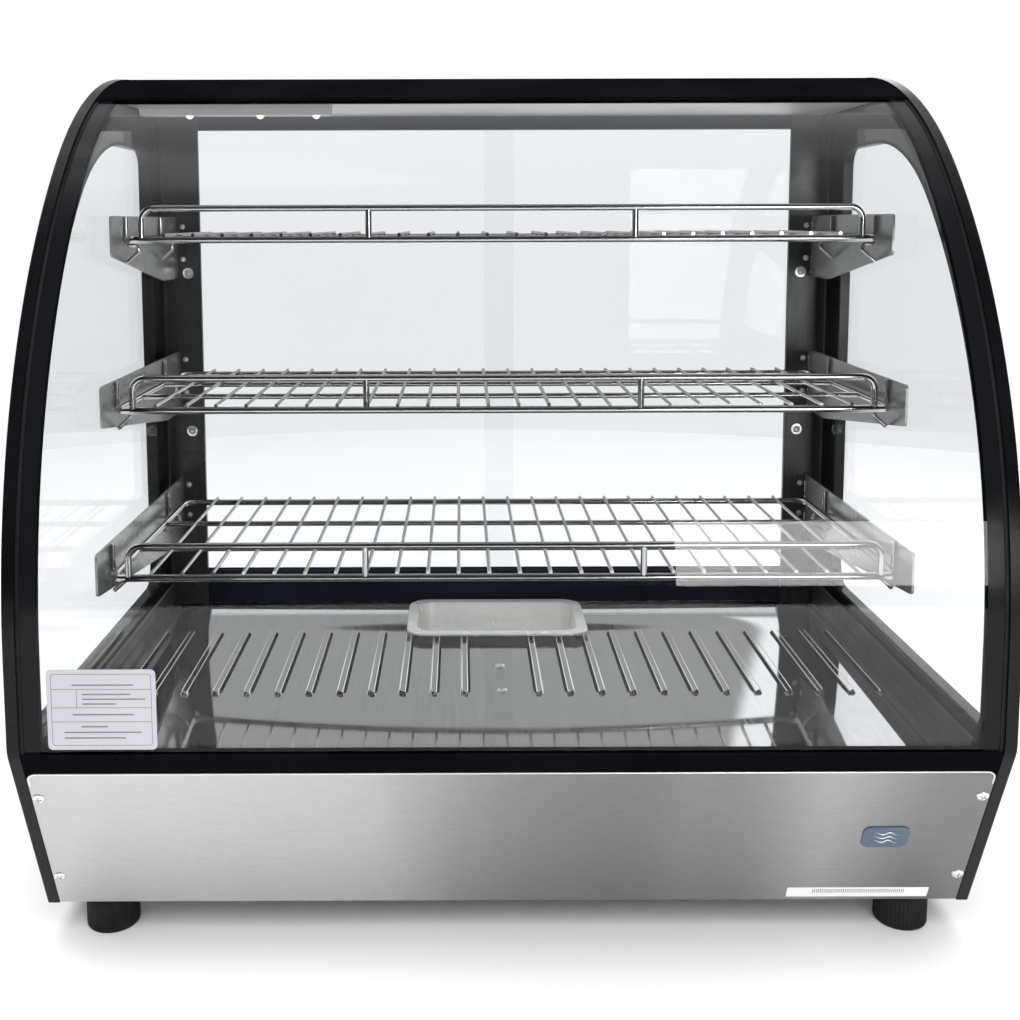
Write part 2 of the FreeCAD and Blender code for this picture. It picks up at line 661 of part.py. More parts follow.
def deck_screws():
    screws = []
    for x, d in ((0.0, 205.0), (0.0, 262.0), (300.0, 60.0), (-300.0, 60.0)):
        head = rod_z(x, d, DECK_Z, DECK_Z + 2.4, 4.8)
        rim = [e for e in head.Edges if all(abs(v.Z - DECK_Z - 2.4) < 1e-3 for v in e.Vertexes)]
        screws.append(head.makeChamfer(0.9, rim))
    return group(screws)


def deck_ledges():
    """Angles on the side frames that carry the deck."""
    inner = HALF_INNER - 16
    under = DECK_Z - SHEET
    flat = box(inner, HALF_INNER, DECK_FRONT_D + 6, POST_D - 6, under - 1.5, under)
    web = box(HALF_INNER - 1.5, HALF_INNER, DECK_FRONT_D + 6, POST_D - 6, under - 20, under)
    ledge = fused([flat, web])
    return group([ledge, mirrored(ledge)])


def water_pan():
    """Deep-drawn rectangular pan with a rolled rim."""
    def ring(z, length, width, radius):
        slab = rounded_slab(0, PAN_CENTRE_D, z - 1, z, length, width, radius)
        top = [f for f in slab.Faces if abs(f.CenterOfMass.z - z) < 1e-3]
        return top[0].OuterWire

    floor_z = PAN_RIM_Z - PAN_DEPTH
    t = PAN_SHEET
    under = PAN_RIM_Z - 1.2
    outer = Part.makeLoft([ring(floor_z, PAN_FLOOR[0], PAN_FLOOR[1], 12),
                           ring(under, PAN_BODY[0], PAN_BODY[1], 16)], True)
    inner = Part.makeLoft([ring(floor_z + t, PAN_FLOOR[0] - 2 * t, PAN_FLOOR[1] - 2 * t, 11),
                           ring(PAN_RIM_Z + 1, PAN_BODY[0] - 2 * t, PAN_BODY[1] - 2 * t, 15)], True)
    rim = rounded_slab(0, PAN_CENTRE_D, PAN_RIM_Z - 2.0, PAN_RIM_Z, PAN_RIM[0], PAN_RIM[1], 20)
    rim = rim.makeFillet(0.9, [e for e in rim.Edges if all(abs(v.Z - PAN_RIM_Z) < 1e-3 for v in e.Vertexes)])
    return fused([outer, rim]).cut(inner)


def feet():
    """Rubber feet with a bevelled sole and a bore for the bolt."""
    solids = []
    for x in (-FOOT_X, FOOT_X):
        for d in FOOT_DEPTHS:
            foot = rod_z(x, d, 0, FOOT_HEIGHT, FOOT_RADIUS)
            sole = [e for e in foot.Edges if all(abs(v.Z) < 1e-3 for v in e.Vertexes)]
            foot = foot.makeChamfer(1.0, sole)
            solids.append(foot.cut(rod_z(x, d, FOOT_HEIGHT - 14, FOOT_HEIGHT + 1, 4.2)))
    return group(solids)


def foot_bolts():
    """Bolts that hold the feet, each with its nut on the tray."""
    bolts = []
    for x in (-FOOT_X, FOOT_X):
        for d in FOOT_DEPTHS:
            bolt = rod_z(x, d, FOOT_HEIGHT - 12, FOOT_HEIGHT, 4.0)
            nut = rod_z(x, d, FOOT_HEIGHT + SHEET, FOOT_HEIGHT + SHEET + 5, 6.5)
            bolts.extend([bolt, nut])
    return group(bolts)


# ---- heating -----------------------------------------------------------------------------------
HEATER_Z = 112.0
HEATER_WIRE = 4.0
HEATER_XS = (130.0, 285.0)
HEATER_D = (110.0, 400.0)
SHIELD_Z = 70.0


def heater():
    """Right-hand tubular element bent into a U, with its terminal ends at the front."""
    inner, outer = HEATER_XS
    front, rear = HEATER_D
    points = [Vector(inner, back(front), HEATER_Z), Vector(inner, back(rear), HEATER_Z),
              Vector(outer, back(rear), HEATER_Z), Vector(outer, back(front), HEATER_Z)]
    tube = bent_wire(points, 40.0, HEATER_WIRE)
    ends = [rod_y(x, front - 14, front, HEATER_Z, 2.0) for x in HEATER_XS]
    return fused([tube] + ends)


def heater_clips():
    """Straps that hang the two elements from the deck."""
    clips = []
    for x in HEATER_XS:
        for d in (150.0, 330.0):
            block = box(x - 8, x + 8, d - 6, d + 6, HEATER_Z - 6, DECK_Z - SHEET)
            hollow = box(x - 6.5, x + 6.5, d - 7, d + 7, HEATER_Z + HEATER_WIRE + 2, DECK_Z - SHEET - 1.5)
            hole = rod_y(x, d - 7, d + 7, HEATER_Z, HEATER_WIRE)
            clips.append(block.cut([hollow, hole]))
    return group(clips + [mirrored(c) for c in clips])


def heat_shield():
    pan = box(-325, 325, 88, 400, SHIELD_Z, SHIELD_Z + SHEET)
    front = box(-325, 325, 88, 88 + SHEET, SHIELD_Z, SHIELD_Z + 16)
    rear = box(-325, 325, 400 - SHEET, 400, SHIELD_Z - 38, SHIELD_Z)
    return fused([pan, front, rear])


def base_insulation():
    return rounded_slab(0, 240, SHIELD_Z - 22, SHIELD_Z - 0.2, 630, 300, 10)


# ---- controls ----------------------------------------------------------------------------------
def thermostat_body():
    face = REAR_PANEL_D
    body = box(KNOB_X - 20, KNOB_X + 20, face - 30, face, CONTROL_Z - 20, CONTROL_Z + 20)
    shaft = rod_y(KNOB_X, face, face + 9, CONTROL_Z, 3.0)
    return fused([body, shaft])


def thermostat_knob():
    face = REAR_PANEL_D + SHEET
    knob = rod_y(KNOB_X, face + 0.4, face + 10.4, CONTROL_Z, 17.0)
    rim = [e for e in knob.Edges if all(abs(v.Y - back(face + 10.4)) < 1e-3 for v in e.Vertexes)]
    knob = knob.makeFillet(1.2, rim)
    flutes = []
    for index in range(18):
        angle = math.radians(index * 20.0 + 10.0)
        flutes.append(rod_y(KNOB_X + 18.4 * math.cos(angle), face, face + 12,
                            CONTROL_Z + 18.4 * math.sin(angle), 2.2))
    knob = knob.cut(flutes)
    return knob.cut(rod_y(KNOB_X, face - 1, REAR_PANEL_D + 9.4, CONTROL_Z, 3.3))


def display_module():
    face = REAR_PANEL_D + SHEET
    bezel = box(DISPLAY_X - 26, DISPLAY_X + 26, face, face + 2.5, CONTROL_Z - 14, CONTROL_Z + 14)
    bezel = bezel.cut(box(DISPLAY_X - 20, DISPLAY_X + 20, face + 1.3, face + 3, CONTROL_Z - 8, CONTROL_Z + 8))
    body = box(DISPLAY_X - 22, DISPLAY_X + 22, face - 26, face, CONTROL_Z - 10, CONTROL_Z + 10)
    return fused([bezel, body])


def rocker_bezels():
    face = REAR_PANEL_D + SHEET
    pivot = face - ROCKER_PIVOT
    bezels = []
    for _, x in ROCKERS:
        flange = box(x - 9, x + 9, face, face + 1.6, CONTROL_Z - 13, CONTROL_Z + 13)
        body = box(x - 7, x + 7, face - 18, face, CONTROL_Z - 11, CONTROL_Z + 11)
        pocket = box(x - 5.9, x + 5.9, face - 9, face + 3, CONTROL_Z - 9.9, CONTROL_Z + 9.9)
        pin = rod_x(x - 6.9, x + 6.9, pivot, CONTROL_Z, ROCKER_PIN + 0.15)
        bezels.append(fused([flange, body]).cut([pocket, pin]))
    return group(bezels)


def rocker(x):
    """Rocker with a shallow V face on a pivot pin, tipped to its off side."""
    pivot = REAR_PANEL_D + SHEET - ROCKER_PIVOT
    half_width = 5.5
    outline = [(-3.0, -7.0), (-3.0, 7.0), (6.0, 7.8), (4.6, 0.0), (6.0, -7.8)]
    points = [Vector(x - half_width, back(pivot + d), CONTROL_Z + h) for d, h in outline]
    shape = Part.Face(Part.makePolygon(points + points[:1])).extrude(Vector(2 * half_width, 0, 0))
    shape.rotate(Vector(x, back(pivot), CONTROL_Z), Vector(1, 0, 0), -ROCKER_TILT)
    return fused([shape, rod_x(x - 6.7, x + 6.7, pivot, CONTROL_Z, ROCKER_PIN)])


def cable_gland():
    face = REAR_PANEL_D + SHEET
    collar = rod_y(GLAND_X, face, face + 4, GLAND_Z, 11.0)
    nose = rod_y(GLAND_X, face + 4, face + 9.5, GLAND_Z, 8.5)
    neck = rod_y(GLAND_X, face - 14, face, GLAND_Z, 7.8)
    nut = rod_y(GLAND_X, REAR_PANEL_D - 6, REAR_PANEL_D, GLAND_Z, 11.0)
    return fused([collar, nose, neck, nut]).cut(rod_y(GLAND_X, face - 20, face + 12, GLAND_Z, 4.5))


def terminal_block():
    floor = FOOT_HEIGHT + SHEET
    block = box(205, 265, 408, 430, floor, floor + 16)
    screws = [rod_z(215 + index * 13.3, 419, floor + 10, floor + 20, 3.4) for index in range(4)]
    return block.cut(screws)


# ---- all nodes ---------------------------------------------------------------------------------
def build():
    """Every node by name."""
    nodes = {}
    for name, shape in (("side_frame", side_frame()), ("side_glass", side_pane()), ("post", post()),
                        ("heater", heater())):
        nodes[name + "_right"] = shape
        nodes[name + "_left"] = mirrored(shape)
    gasket = side_gasket()
    nodes["side_gaskets"] = group([gasket, mirrored(gasket)])

    for name, z, front_d in SHELVES:
        grid = shelf_grid(z, front_d)
        nodes["shelf_grid_" + name] = grid
        nodes["shelf_guard_" + name] = shelf_guard(z, front_d, grid)
        plate = bracket(z, front_d)
        nodes["bracket_" + name + "_right"] = plate
        nodes["bracket_" + name + "_left"] = mirrored(plate)
    nodes["shelf_rests"] = shelf_rests()

    left = door_glass(LEFT_DOOR_X, OUTER_TRACK_D)
    right = door_glass(RIGHT_DOOR_X, INNER_TRACK_D)
    right_edge = RIGHT_DOOR_X + DOOR_WIDTH
    nodes["door_glass_left"] = left
    nodes["door_glass_right"] = right
    nodes["door_pull_left"] = door_pull(LEFT_DOOR_X - 1, LEFT_DOOR_X - 1 + PULL_WIDTH, OUTER_TRACK_D, left)
    nodes["door_pull_right"] = door_pull(right_edge + 1 - PULL_WIDTH, right_edge + 1, INNER_TRACK_D, right)
    nodes["door_glides_left"] = door_glides(LEFT_DOOR_X, OUTER_TRACK_D)
    nodes["door_glides_right"] = door_glides(RIGHT_DOOR_X, INNER_TRACK_D)

    for name, x in ROCKERS:
        nodes[name] = rocker(x)

    for part in (front_glass, front_glass_seals, top_front_trim, roof_panel, ceiling_liner, lamp_housing,
                 lamp_lenses, post_screws, upper_track, lower_track, front_panel, front_screws,
                 lower_front_trim, base_tray, rear_panel, deck_plate, deck_screws, deck_ledges, water_pan,
                 feet, foot_bolts, heater_clips, heat_shield, base_insulation, thermostat_body,
                 thermostat_knob, display_module, rocker_bezels, cable_gland, terminal_block):
        nodes[part.__name__] = part()
    return nodes


def export(nodes):
    os.makedirs("parts", exist_ok=True)
    for name, shape in sorted(nodes.items()):
        if not shape.isValid() or not shape.Solids:
            raise SystemExit("bad shape: " + name)
        shape.exportStep("parts/" + name + ".step")
        bounds = shape.BoundBox
        print("%-24s %2d solids %8.1f cm3  x %7.1f %7.1f  y %7.1f %7.1f  z %6.1f %6.1f" % (
            name, len(shape.Solids), shape.Volume / 1000.0, bounds.XMin, bounds.XMax,
            bounds.YMin, bounds.YMax, bounds.ZMin, bounds.ZMax))


export(build())
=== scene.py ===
"""Hot food display case: looks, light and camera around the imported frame."""
import json
import math

import bmesh
import bpy
from mathutils import Matrix, Vector


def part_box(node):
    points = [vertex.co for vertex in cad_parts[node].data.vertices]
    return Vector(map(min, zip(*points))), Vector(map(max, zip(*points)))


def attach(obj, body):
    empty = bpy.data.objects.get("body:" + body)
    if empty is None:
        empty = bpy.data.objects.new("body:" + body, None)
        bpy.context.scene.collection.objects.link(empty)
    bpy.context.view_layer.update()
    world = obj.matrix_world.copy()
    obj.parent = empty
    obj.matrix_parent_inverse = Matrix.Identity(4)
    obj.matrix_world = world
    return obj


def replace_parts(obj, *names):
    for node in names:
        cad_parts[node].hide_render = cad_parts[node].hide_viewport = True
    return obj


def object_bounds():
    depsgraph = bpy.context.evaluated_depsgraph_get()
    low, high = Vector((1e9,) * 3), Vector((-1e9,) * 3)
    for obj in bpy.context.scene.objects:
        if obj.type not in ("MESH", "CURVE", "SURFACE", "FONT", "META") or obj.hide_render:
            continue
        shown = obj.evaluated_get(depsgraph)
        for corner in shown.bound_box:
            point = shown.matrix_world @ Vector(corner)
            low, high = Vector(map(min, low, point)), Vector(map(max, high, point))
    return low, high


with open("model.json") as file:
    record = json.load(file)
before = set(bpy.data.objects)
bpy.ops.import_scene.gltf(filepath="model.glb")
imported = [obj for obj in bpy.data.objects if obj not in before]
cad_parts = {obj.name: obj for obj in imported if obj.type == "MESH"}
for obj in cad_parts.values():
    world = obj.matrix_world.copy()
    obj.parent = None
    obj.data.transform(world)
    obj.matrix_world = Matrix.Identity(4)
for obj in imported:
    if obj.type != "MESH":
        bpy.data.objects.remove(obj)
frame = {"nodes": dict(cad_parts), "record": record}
CAD_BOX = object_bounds()
NODES = frame["nodes"]
MM = 0.001

# ---- places that follow the CAD, in millimetres ----
FOOT_HEIGHT = 28.0
TOE_DEPTH = 68.0
SLOPE_RISE = 147.0
FRONT_PANEL_TOP = 156.5
FRONT_PANEL_HALF = 337.5
CORNER_RADIUS = 6.0
DECK_Z = 138.0
LOUVRE_FIRST_X = 32.0
LOUVRE_PITCH = 26.6
LOUVRES_PER_SIDE = 12
RIVET_X = 318.0
RIVET_HEIGHTS = (534.0, 501.0, 398.0, 364.0, 267.0, 235.0)
CONTROL_Z = 86.0
KNOB_X = -215.0
DISPLAY_X = -140.0
ROCKERS = (("rocker_power", "power_switch", -290.0), ("rocker_lamp", "lamp_switch", -265.0))
ROCKER_TILT = math.radians(8.0)
ROCKER_FACE_TILT = math.atan2(1.4, 7.8)

# ---- camera ------------------------------------------------------------------------------------
LENS_MM = 42.62
CAMERA_AT = (-0.0342, -1.0262, 0.5374)
PITCH_DEG, YAW_DEG, ROLL_DEG = 6.0, -0.04, -0.16
SHIFT_X, SHIFT_Y = 0.047, -0.157


def make_camera():
    """Camera above the middle of the front, pitched down, with a downward lens shift."""
    data = bpy.data.cameras.new("camera")
    data.lens = LENS_MM
    data.sensor_width = 36.0
    data.shift_x = SHIFT_X
    data.shift_y = SHIFT_Y
    data.clip_start = 0.01
    camera = bpy.data.objects.new("camera", data)
    turn = (Matrix.Rotation(math.radians(YAW_DEG), 4, "Z")
            @ Matrix.Rotation(math.radians(90.0 - PITCH_DEG), 4, "X")
            @ Matrix.Rotation(math.radians(ROLL_DEG), 4, "Z"))
    camera.matrix_world = Matrix.Translation(CAMERA_AT) @ turn
    bpy.context.scene.collection.objects.link(camera)
    bpy.context.scene.camera = camera


# ---- node helpers ------------------------------------------------------------------------------
class Tree:
    """Short way to build a shader tree."""

    def __init__(self, name):
        self.material = bpy.data.materials.new(name)
        self.material.use_nodes = True
        self.nodes = self.material.node_tree.nodes
        self.links = self.material.node_tree.links
        self.nodes.clear()
        self.output = self.nodes.new("ShaderNodeOutputMaterial")

    def add(self, kind, inputs=None, **settings):
        node = self.nodes.new(kind)
        for key, value in settings.items():
            setattr(node, key, value)
        for key, value in (inputs or {}).items():
            self.feed(node.inputs[key], value)
        return node

    def feed(self, socket, value):
        if isinstance(value, bpy.types.NodeSocket):
            self.links.new(value, socket)
        else:
            socket.default_value = value

    def coords(self, scale=(1, 1, 1)):
        """Object coordinates in metres times scale."""
        source = self.add("ShaderNodeTexCoord")
        mapping = self.add("ShaderNodeMapping",
                           {"Vector": source.outputs["Object"], "Scale": scale})
        return mapping.outputs["Vector"]

    def noise(self, scale, detail=3.0, stretch=(1, 1, 1)):
        node = self.add("ShaderNodeTexNoise", {"Vector": self.coords(stretch), "Scale": scale,
                                               "Detail": detail, "Roughness": 0.5})
        return node.outputs["Fac"]

    def spread(self, source, low, high, from_low=0.3, from_high=0.7):
        """Maps a noise value to the range low to high."""
        node = self.add("ShaderNodeMapRange", {"Value": source, "From Min": from_low,
                                               "From Max": from_high, "To Min": low, "To Max": high})
        return node.outputs["Result"]

    def tint(self, factor, first, second):
        node = self.add("ShaderNodeMix", data_type="RGBA")
        self.feed(node.inputs[0], factor)
        node.inputs[6].default_value = (*first, 1.0)
        node.inputs[7].default_value = (*second, 1.0)
        return node.outputs[2]

    def bump(self, height, strength, distance):
        inputs = {"Height": height, "Strength": strength, "Distance": distance}
        return self.add("ShaderNodeBump", inputs).outputs["Normal"]

    def math(self, operation, first, second=None, clamp=False):
        inputs = {0: first} if second is None else {0: first, 1: second}
        return self.add("ShaderNodeMath", inputs, operation=operation, use_clamp=clamp).outputs[0]

    def surface(self, shader):
        self.links.new(shader, self.output.inputs["Surface"])
        return self.material

    def principled(self, **inputs):
        named = {key.replace("_", " "): value for key, value in inputs.items()}
        node = self.add("ShaderNodeBsdfPrincipled", named)
        return self.surface(node.outputs["BSDF"])


def wear_mix(tree, amount=0.35):
    """Slow blotches and fine specks together, from 0 to 1."""
    slow = tree.spread(tree.noise(9.0, 4.0), 0.0, 1.0)
    fine = tree.spread(tree.noise(210.0, 2.0), 0.0, amount)
    return tree.math("ADD", slow, fine, clamp=True)


# ---- materials ---------------------------------------------------------------------------------
def black_gloss(name="black_gloss", specular=0.16, tint=(1.0, 1.0, 1.2)):
    """Gloss black moulding with faint orange peel and finger haze."""
    t = Tree(name)
    color = t.tint(wear_mix(t), tuple(0.002 * c for c in tint), tuple(0.0045 * c for c in tint))
    rough = t.spread(t.noise(28.0, 5.0), 0.12, 0.26)
    normal = t.bump(t.noise(260.0, 2.0), 0.06, 0.0004)
    return t.principled(Base_Color=color, Roughness=rough, Normal=normal, Specular_IOR_Level=specular)


def dark_sheet():
    """Dark grey coated steel sheet, faintly brushed along its height."""
    t = Tree("dark_sheet")
    grain = t.noise(60.0, 4.0, (14.0, 14.0, 0.6))
    color = t.tint(t.spread(grain, 0.0, 1.0), (0.022, 0.022, 0.023), (0.042, 0.042, 0.043))
    rough = t.spread(t.noise(16.0, 3.0), 0.26, 0.4)
    normal = t.bump(grain, 0.08, 0.0003)
    return t.principled(Base_Color=color, Metallic=0.35, Roughness=rough, Normal=normal)


def brushed_steel():
    """Stainless steel with hair-line grain."""
    t = Tree("brushed_steel")
    grain = t.noise(120.0, 5.0, (0.6, 20.0, 20.0))
    color = t.tint(t.spread(grain, 0.0, 1.0), (0.52, 0.515, 0.51), (0.64, 0.635, 0.63))
    return t.principled(Base_Color=color, Metallic=1.0, Roughness=t.spread(grain, 0.2, 0.32),
                        Normal=t.bump(grain, 0.10, 0.0002))


def front_steel():
    """Horizontally brushed front: soft upright bands under a fine grain; the bands are painted reflection,
    light and dark steps of the base colour across X.
    """
    t = Tree("front_steel")
    grain = t.noise(150.0, 5.0, (0.4, 20.0, 20.0))
    across = t.add("ShaderNodeSeparateXYZ", {0: t.coords()}).outputs["X"]
    wander = t.spread(t.noise(5.0, 2.0, (1.0, 0.4, 0.4)), -0.02, 0.02)
    place = t.spread(t.math("ADD", across, wander), 0.0, 1.0, -0.34, 0.34)
    # Painted reflection: the ramp steps the base colour up and down across X in soft upright bands that stand
    # for mirrored surroundings.
    painted_band_ramp = t.add("ShaderNodeValToRGB", {0: place})
    painted_band_stops = [(0.0, 0.50), (0.10, 0.60), (0.22, 0.56), (0.36, 0.54), (0.46, 0.30), (0.58, 0.24),
             (0.66, 0.22), (0.71, 0.28), (0.76, 0.24), (0.83, 0.40), (0.88, 0.42), (0.95, 0.22),
             (1.0, 0.20)]
    elements = painted_band_ramp.color_ramp.elements
    elements[0].position, elements[0].color = painted_band_stops[0][0], (*[painted_band_stops[0][1]] * 3, 1.0)
    elements[1].position, elements[1].color = painted_band_stops[-1][0], (*[painted_band_stops[-1][1]] * 3, 1.0)
    for position, level in painted_band_stops[1:-1]:
        elements.new(position).color = (level, level, level * 0.99, 1.0)
    painted_band_ramp.color_ramp.interpolation = "B_SPLINE"
    shade = t.add("ShaderNodeMix", data_type="RGBA", blend_type="MULTIPLY")
    shade.inputs[0].default_value = 1.0
    t.feed(shade.inputs[6], painted_band_ramp.outputs["Color"])
    t.feed(shade.inputs[7], t.tint(t.spread(grain, 0.0, 1.0), (0.93, 0.93, 0.93), (1.0, 1.0, 1.0)))
    tangent = t.add("ShaderNodeTangent", direction_type="RADIAL", axis="X").outputs[0]
    return t.principled(Base_Color=shade.outputs[2], Metallic=1.0, Roughness=t.spread(grain, 0.26, 0.33),
                        Anisotropic=0.6, Tangent=tangent, Normal=t.bump(grain, 0.03, 0.0002))


def polished_steel(name, low, high, rough, metallic=1.0):
    """Bright sheet with faint rolling marks."""
    t = Tree(name)
    marks = t.noise(40.0, 4.0, (0.5, 9.0, 9.0))
    color = t.tint(t.spread(marks, 0.0, 1.0), (low, low, low), (high, high, high))
    normal = t.bump(marks, 0.05, 0.0002)
    return t.principled(Base_Color=color, Metallic=metallic, Roughness=t.spread(t.noise(12.0, 4.0), *rough),
                        Normal=normal)


def deck_mirror():
    """Mirror-finished deck, whose shading sags between its edges and rises towards the rear."""
    t = Tree("deck_mirror")
    marks = t.noise(30.0, 4.0, (9.0, 0.6, 1.0))
    color = t.tint(t.spread(marks, 0.0, 1.0), (0.46, 0.46, 0.46), (0.51, 0.51, 0.51))
    x, y = t.add("ShaderNodeSeparateXYZ", {0: t.coords()}).outputs[:2]
    wide = t.math("POWER", t.math("ABSOLUTE", t.math("DIVIDE", x, 0.338)), 2.0)
    deep = t.math("POWER", t.math("ABSOLUTE", t.math("DIVIDE", y, 0.21)), 2.0)
    bowl = t.math("MULTIPLY", t.math("SUBTRACT", 1.0, wide, clamp=True),
                  t.math("SUBTRACT", 1.0, deep, clamp=True))
    twist = t.math("MULTIPLY", t.math("MULTIPLY", wide, y), 0.034)
    rise = t.math("MULTIPLY", t.math("POWER", t.spread(y, 0.0, 1.0, 0.115, 0.21), 3.0), 0.0158)
    height = t.math("ADD", t.math("SUBTRACT", rise, t.math("MULTIPLY", bowl, 0.0019)), twist)
    normal = t.bump(height, 1.0, 1.0)
    return t.principled(Base_Color=color, Metallic=1.0, Roughness=t.spread(marks, 0.02, 0.06),
                        Normal=normal)


def satin_steel():
    """Bead-blasted steel of the water pan."""
    t = Tree("satin_steel")
    grain = t.noise(900.0, 2.0)
    color = t.tint(t.spread(t.noise(20.0, 4.0), 0.0, 1.0), (0.86, 0.86, 0.84), (0.94, 0.94, 0.92))
    rough = t.spread(t.noise(14.0, 3.0), 0.22, 0.32)
    normal = t.bump(grain, 0.08, 0.0002)
    return t.principled(Base_Color=color, Metallic=0.6, Roughness=rough, Normal=normal)


def chromed_wire():
    t = Tree("chromed_wire")
    color = t.tint(wear_mix(t, 0.2), (0.46, 0.46, 0.45), (0.58, 0.58, 0.57))
    rough = t.spread(t.noise(60.0, 4.0), 0.08, 0.2)
    normal = t.bump(t.noise(420.0, 2.0), 0.05, 0.0002)
    return t.principled(Base_Color=color, Metallic=1.0, Roughness=rough, Normal=normal)


def zinc_steel():
    """Galvanised sheet with spangle."""
    t = Tree("zinc_steel")
    cells = t.add("ShaderNodeTexVoronoi", {"Vector": t.coords(), "Scale": 160.0}).outputs["Distance"]
    color = t.tint(t.spread(cells, 0.0, 1.0, 0.0, 0.6), (0.42, 0.43, 0.44), (0.58, 0.59, 0.6))
    return t.principled(Base_Color=color, Metallic=1.0, Roughness=t.spread(cells, 0.32, 0.5, 0.0, 0.6))


def rubber():
    t = Tree("rubber")
    color = t.tint(wear_mix(t), (0.004, 0.004, 0.005), (0.011, 0.011, 0.012))
    normal = t.bump(t.noise(700.0, 3.0), 0.25, 0.0004)
    return t.principled(Base_Color=color, Roughness=t.spread(t.noise(50.0), 0.5, 0.7), Normal=normal,
                        Specular_IOR_Level=0.2)


def moulded_plastic(name, first, second, rough=(0.38, 0.52)):
    t = Tree(name)
    color = t.tint(wear_mix(t, 0.25), first, second)
    normal = t.bump(t.noise(520.0, 3.0), 0.15, 0.0003)
    return t.principled(Base_Color=color, Roughness=t.spread(t.noise(40.0), *rough), Normal=normal)


def mineral_wool():
    t = Tree("mineral_wool")
    fibre = t.noise(240.0, 6.0, (1.0, 5.0, 9.0))
    color = t.tint(t.spread(fibre, 0.0, 1.0), (0.42, 0.36, 0.22), (0.66, 0.6, 0.44))
    return t.principled(Base_Color=color, Roughness=0.95, Normal=t.bump(fibre, 0.7, 0.002))


def heater_sheath():
    t = Tree("heater_sheath")
    color = t.tint(wear_mix(t), (0.16, 0.13, 0.11), (0.30, 0.28, 0.27))
    return t.principled(Base_Color=color, Metallic=1.0, Roughness=t.spread(t.noise(50.0), 0.35, 0.55))


def clear_glass(name, tint, haze, border=0.0):
    """Clear pane: light passes straight through under a Schlick reflection.

    A border, in metres from the middle, is where a black edge print begins.
    """
    t = Tree(name)
    facing = t.add("ShaderNodeLayerWeight", {"Blend": 0.5}).outputs["Facing"]
    edge = t.math("POWER", facing, 5.0)
    film = t.spread(t.noise(5.0, 5.0), haze * 0.8, haze * 1.2)
    share = t.math("ADD", t.math("MULTIPLY", edge, 0.55), film, clamp=True)
    clear = t.add("ShaderNodeBsdfTransparent", {"Color": (*tint, 1.0)}).outputs[0]
    gloss = t.add("ShaderNodeBsdfGlossy", {"Color": (1, 1, 1, 1),
                                           "Roughness": t.spread(t.noise(3.0, 2.0), 0.0, 0.02)}).outputs[0]
    glass = t.add("ShaderNodeMixShader", {0: share, 1: clear, 2: gloss}).outputs[0]
    if not border:
        return t.surface(glass)
    across = t.math("ABSOLUTE", t.add("ShaderNodeSeparateXYZ", {0: t.coords()}).outputs["X"])
    ink = t.add("ShaderNodeBsdfPrincipled", {"Base Color": (0.006, 0.006, 0.007, 1.0),
                                             "Specular IOR Level": 0.12,
                                             "Roughness": t.spread(t.noise(90.0), 0.10, 0.2)}).outputs[0]
    printed = t.add("ShaderNodeMixShader",
                    {0: t.math("GREATER_THAN", across, border), 1: glass, 2: ink})
    return t.surface(printed.outputs[0])


def lens_plastic():
    t = Tree("lamp_lens")
    ribs = t.noise(300.0, 2.0, (1.0, 6.0, 1.0))
    color = t.tint(t.spread(ribs, 0.0, 1.0), (0.85, 0.82, 0.72), (0.95, 0.93, 0.88))
    return t.principled(Base_Color=color,
                        Roughness=t.spread(ribs, 0.1, 0.25), Emission_Color=(1.0, 0.93, 0.8, 1.0),
                        Emission_Strength=1.2, Normal=t.bump(ribs, 0.2, 0.0004))


def lit_plastic(name, color, strength):
    t = Tree(name)
    glow = t.tint(t.spread(t.noise(400.0, 2.0), 0.0, 1.0), tuple(c * 0.85 for c in color), color)
    return t.principled(Base_Color=glow, Roughness=0.4, Emission_Color=(*color, 1.0),
                        Emission_Strength=strength)


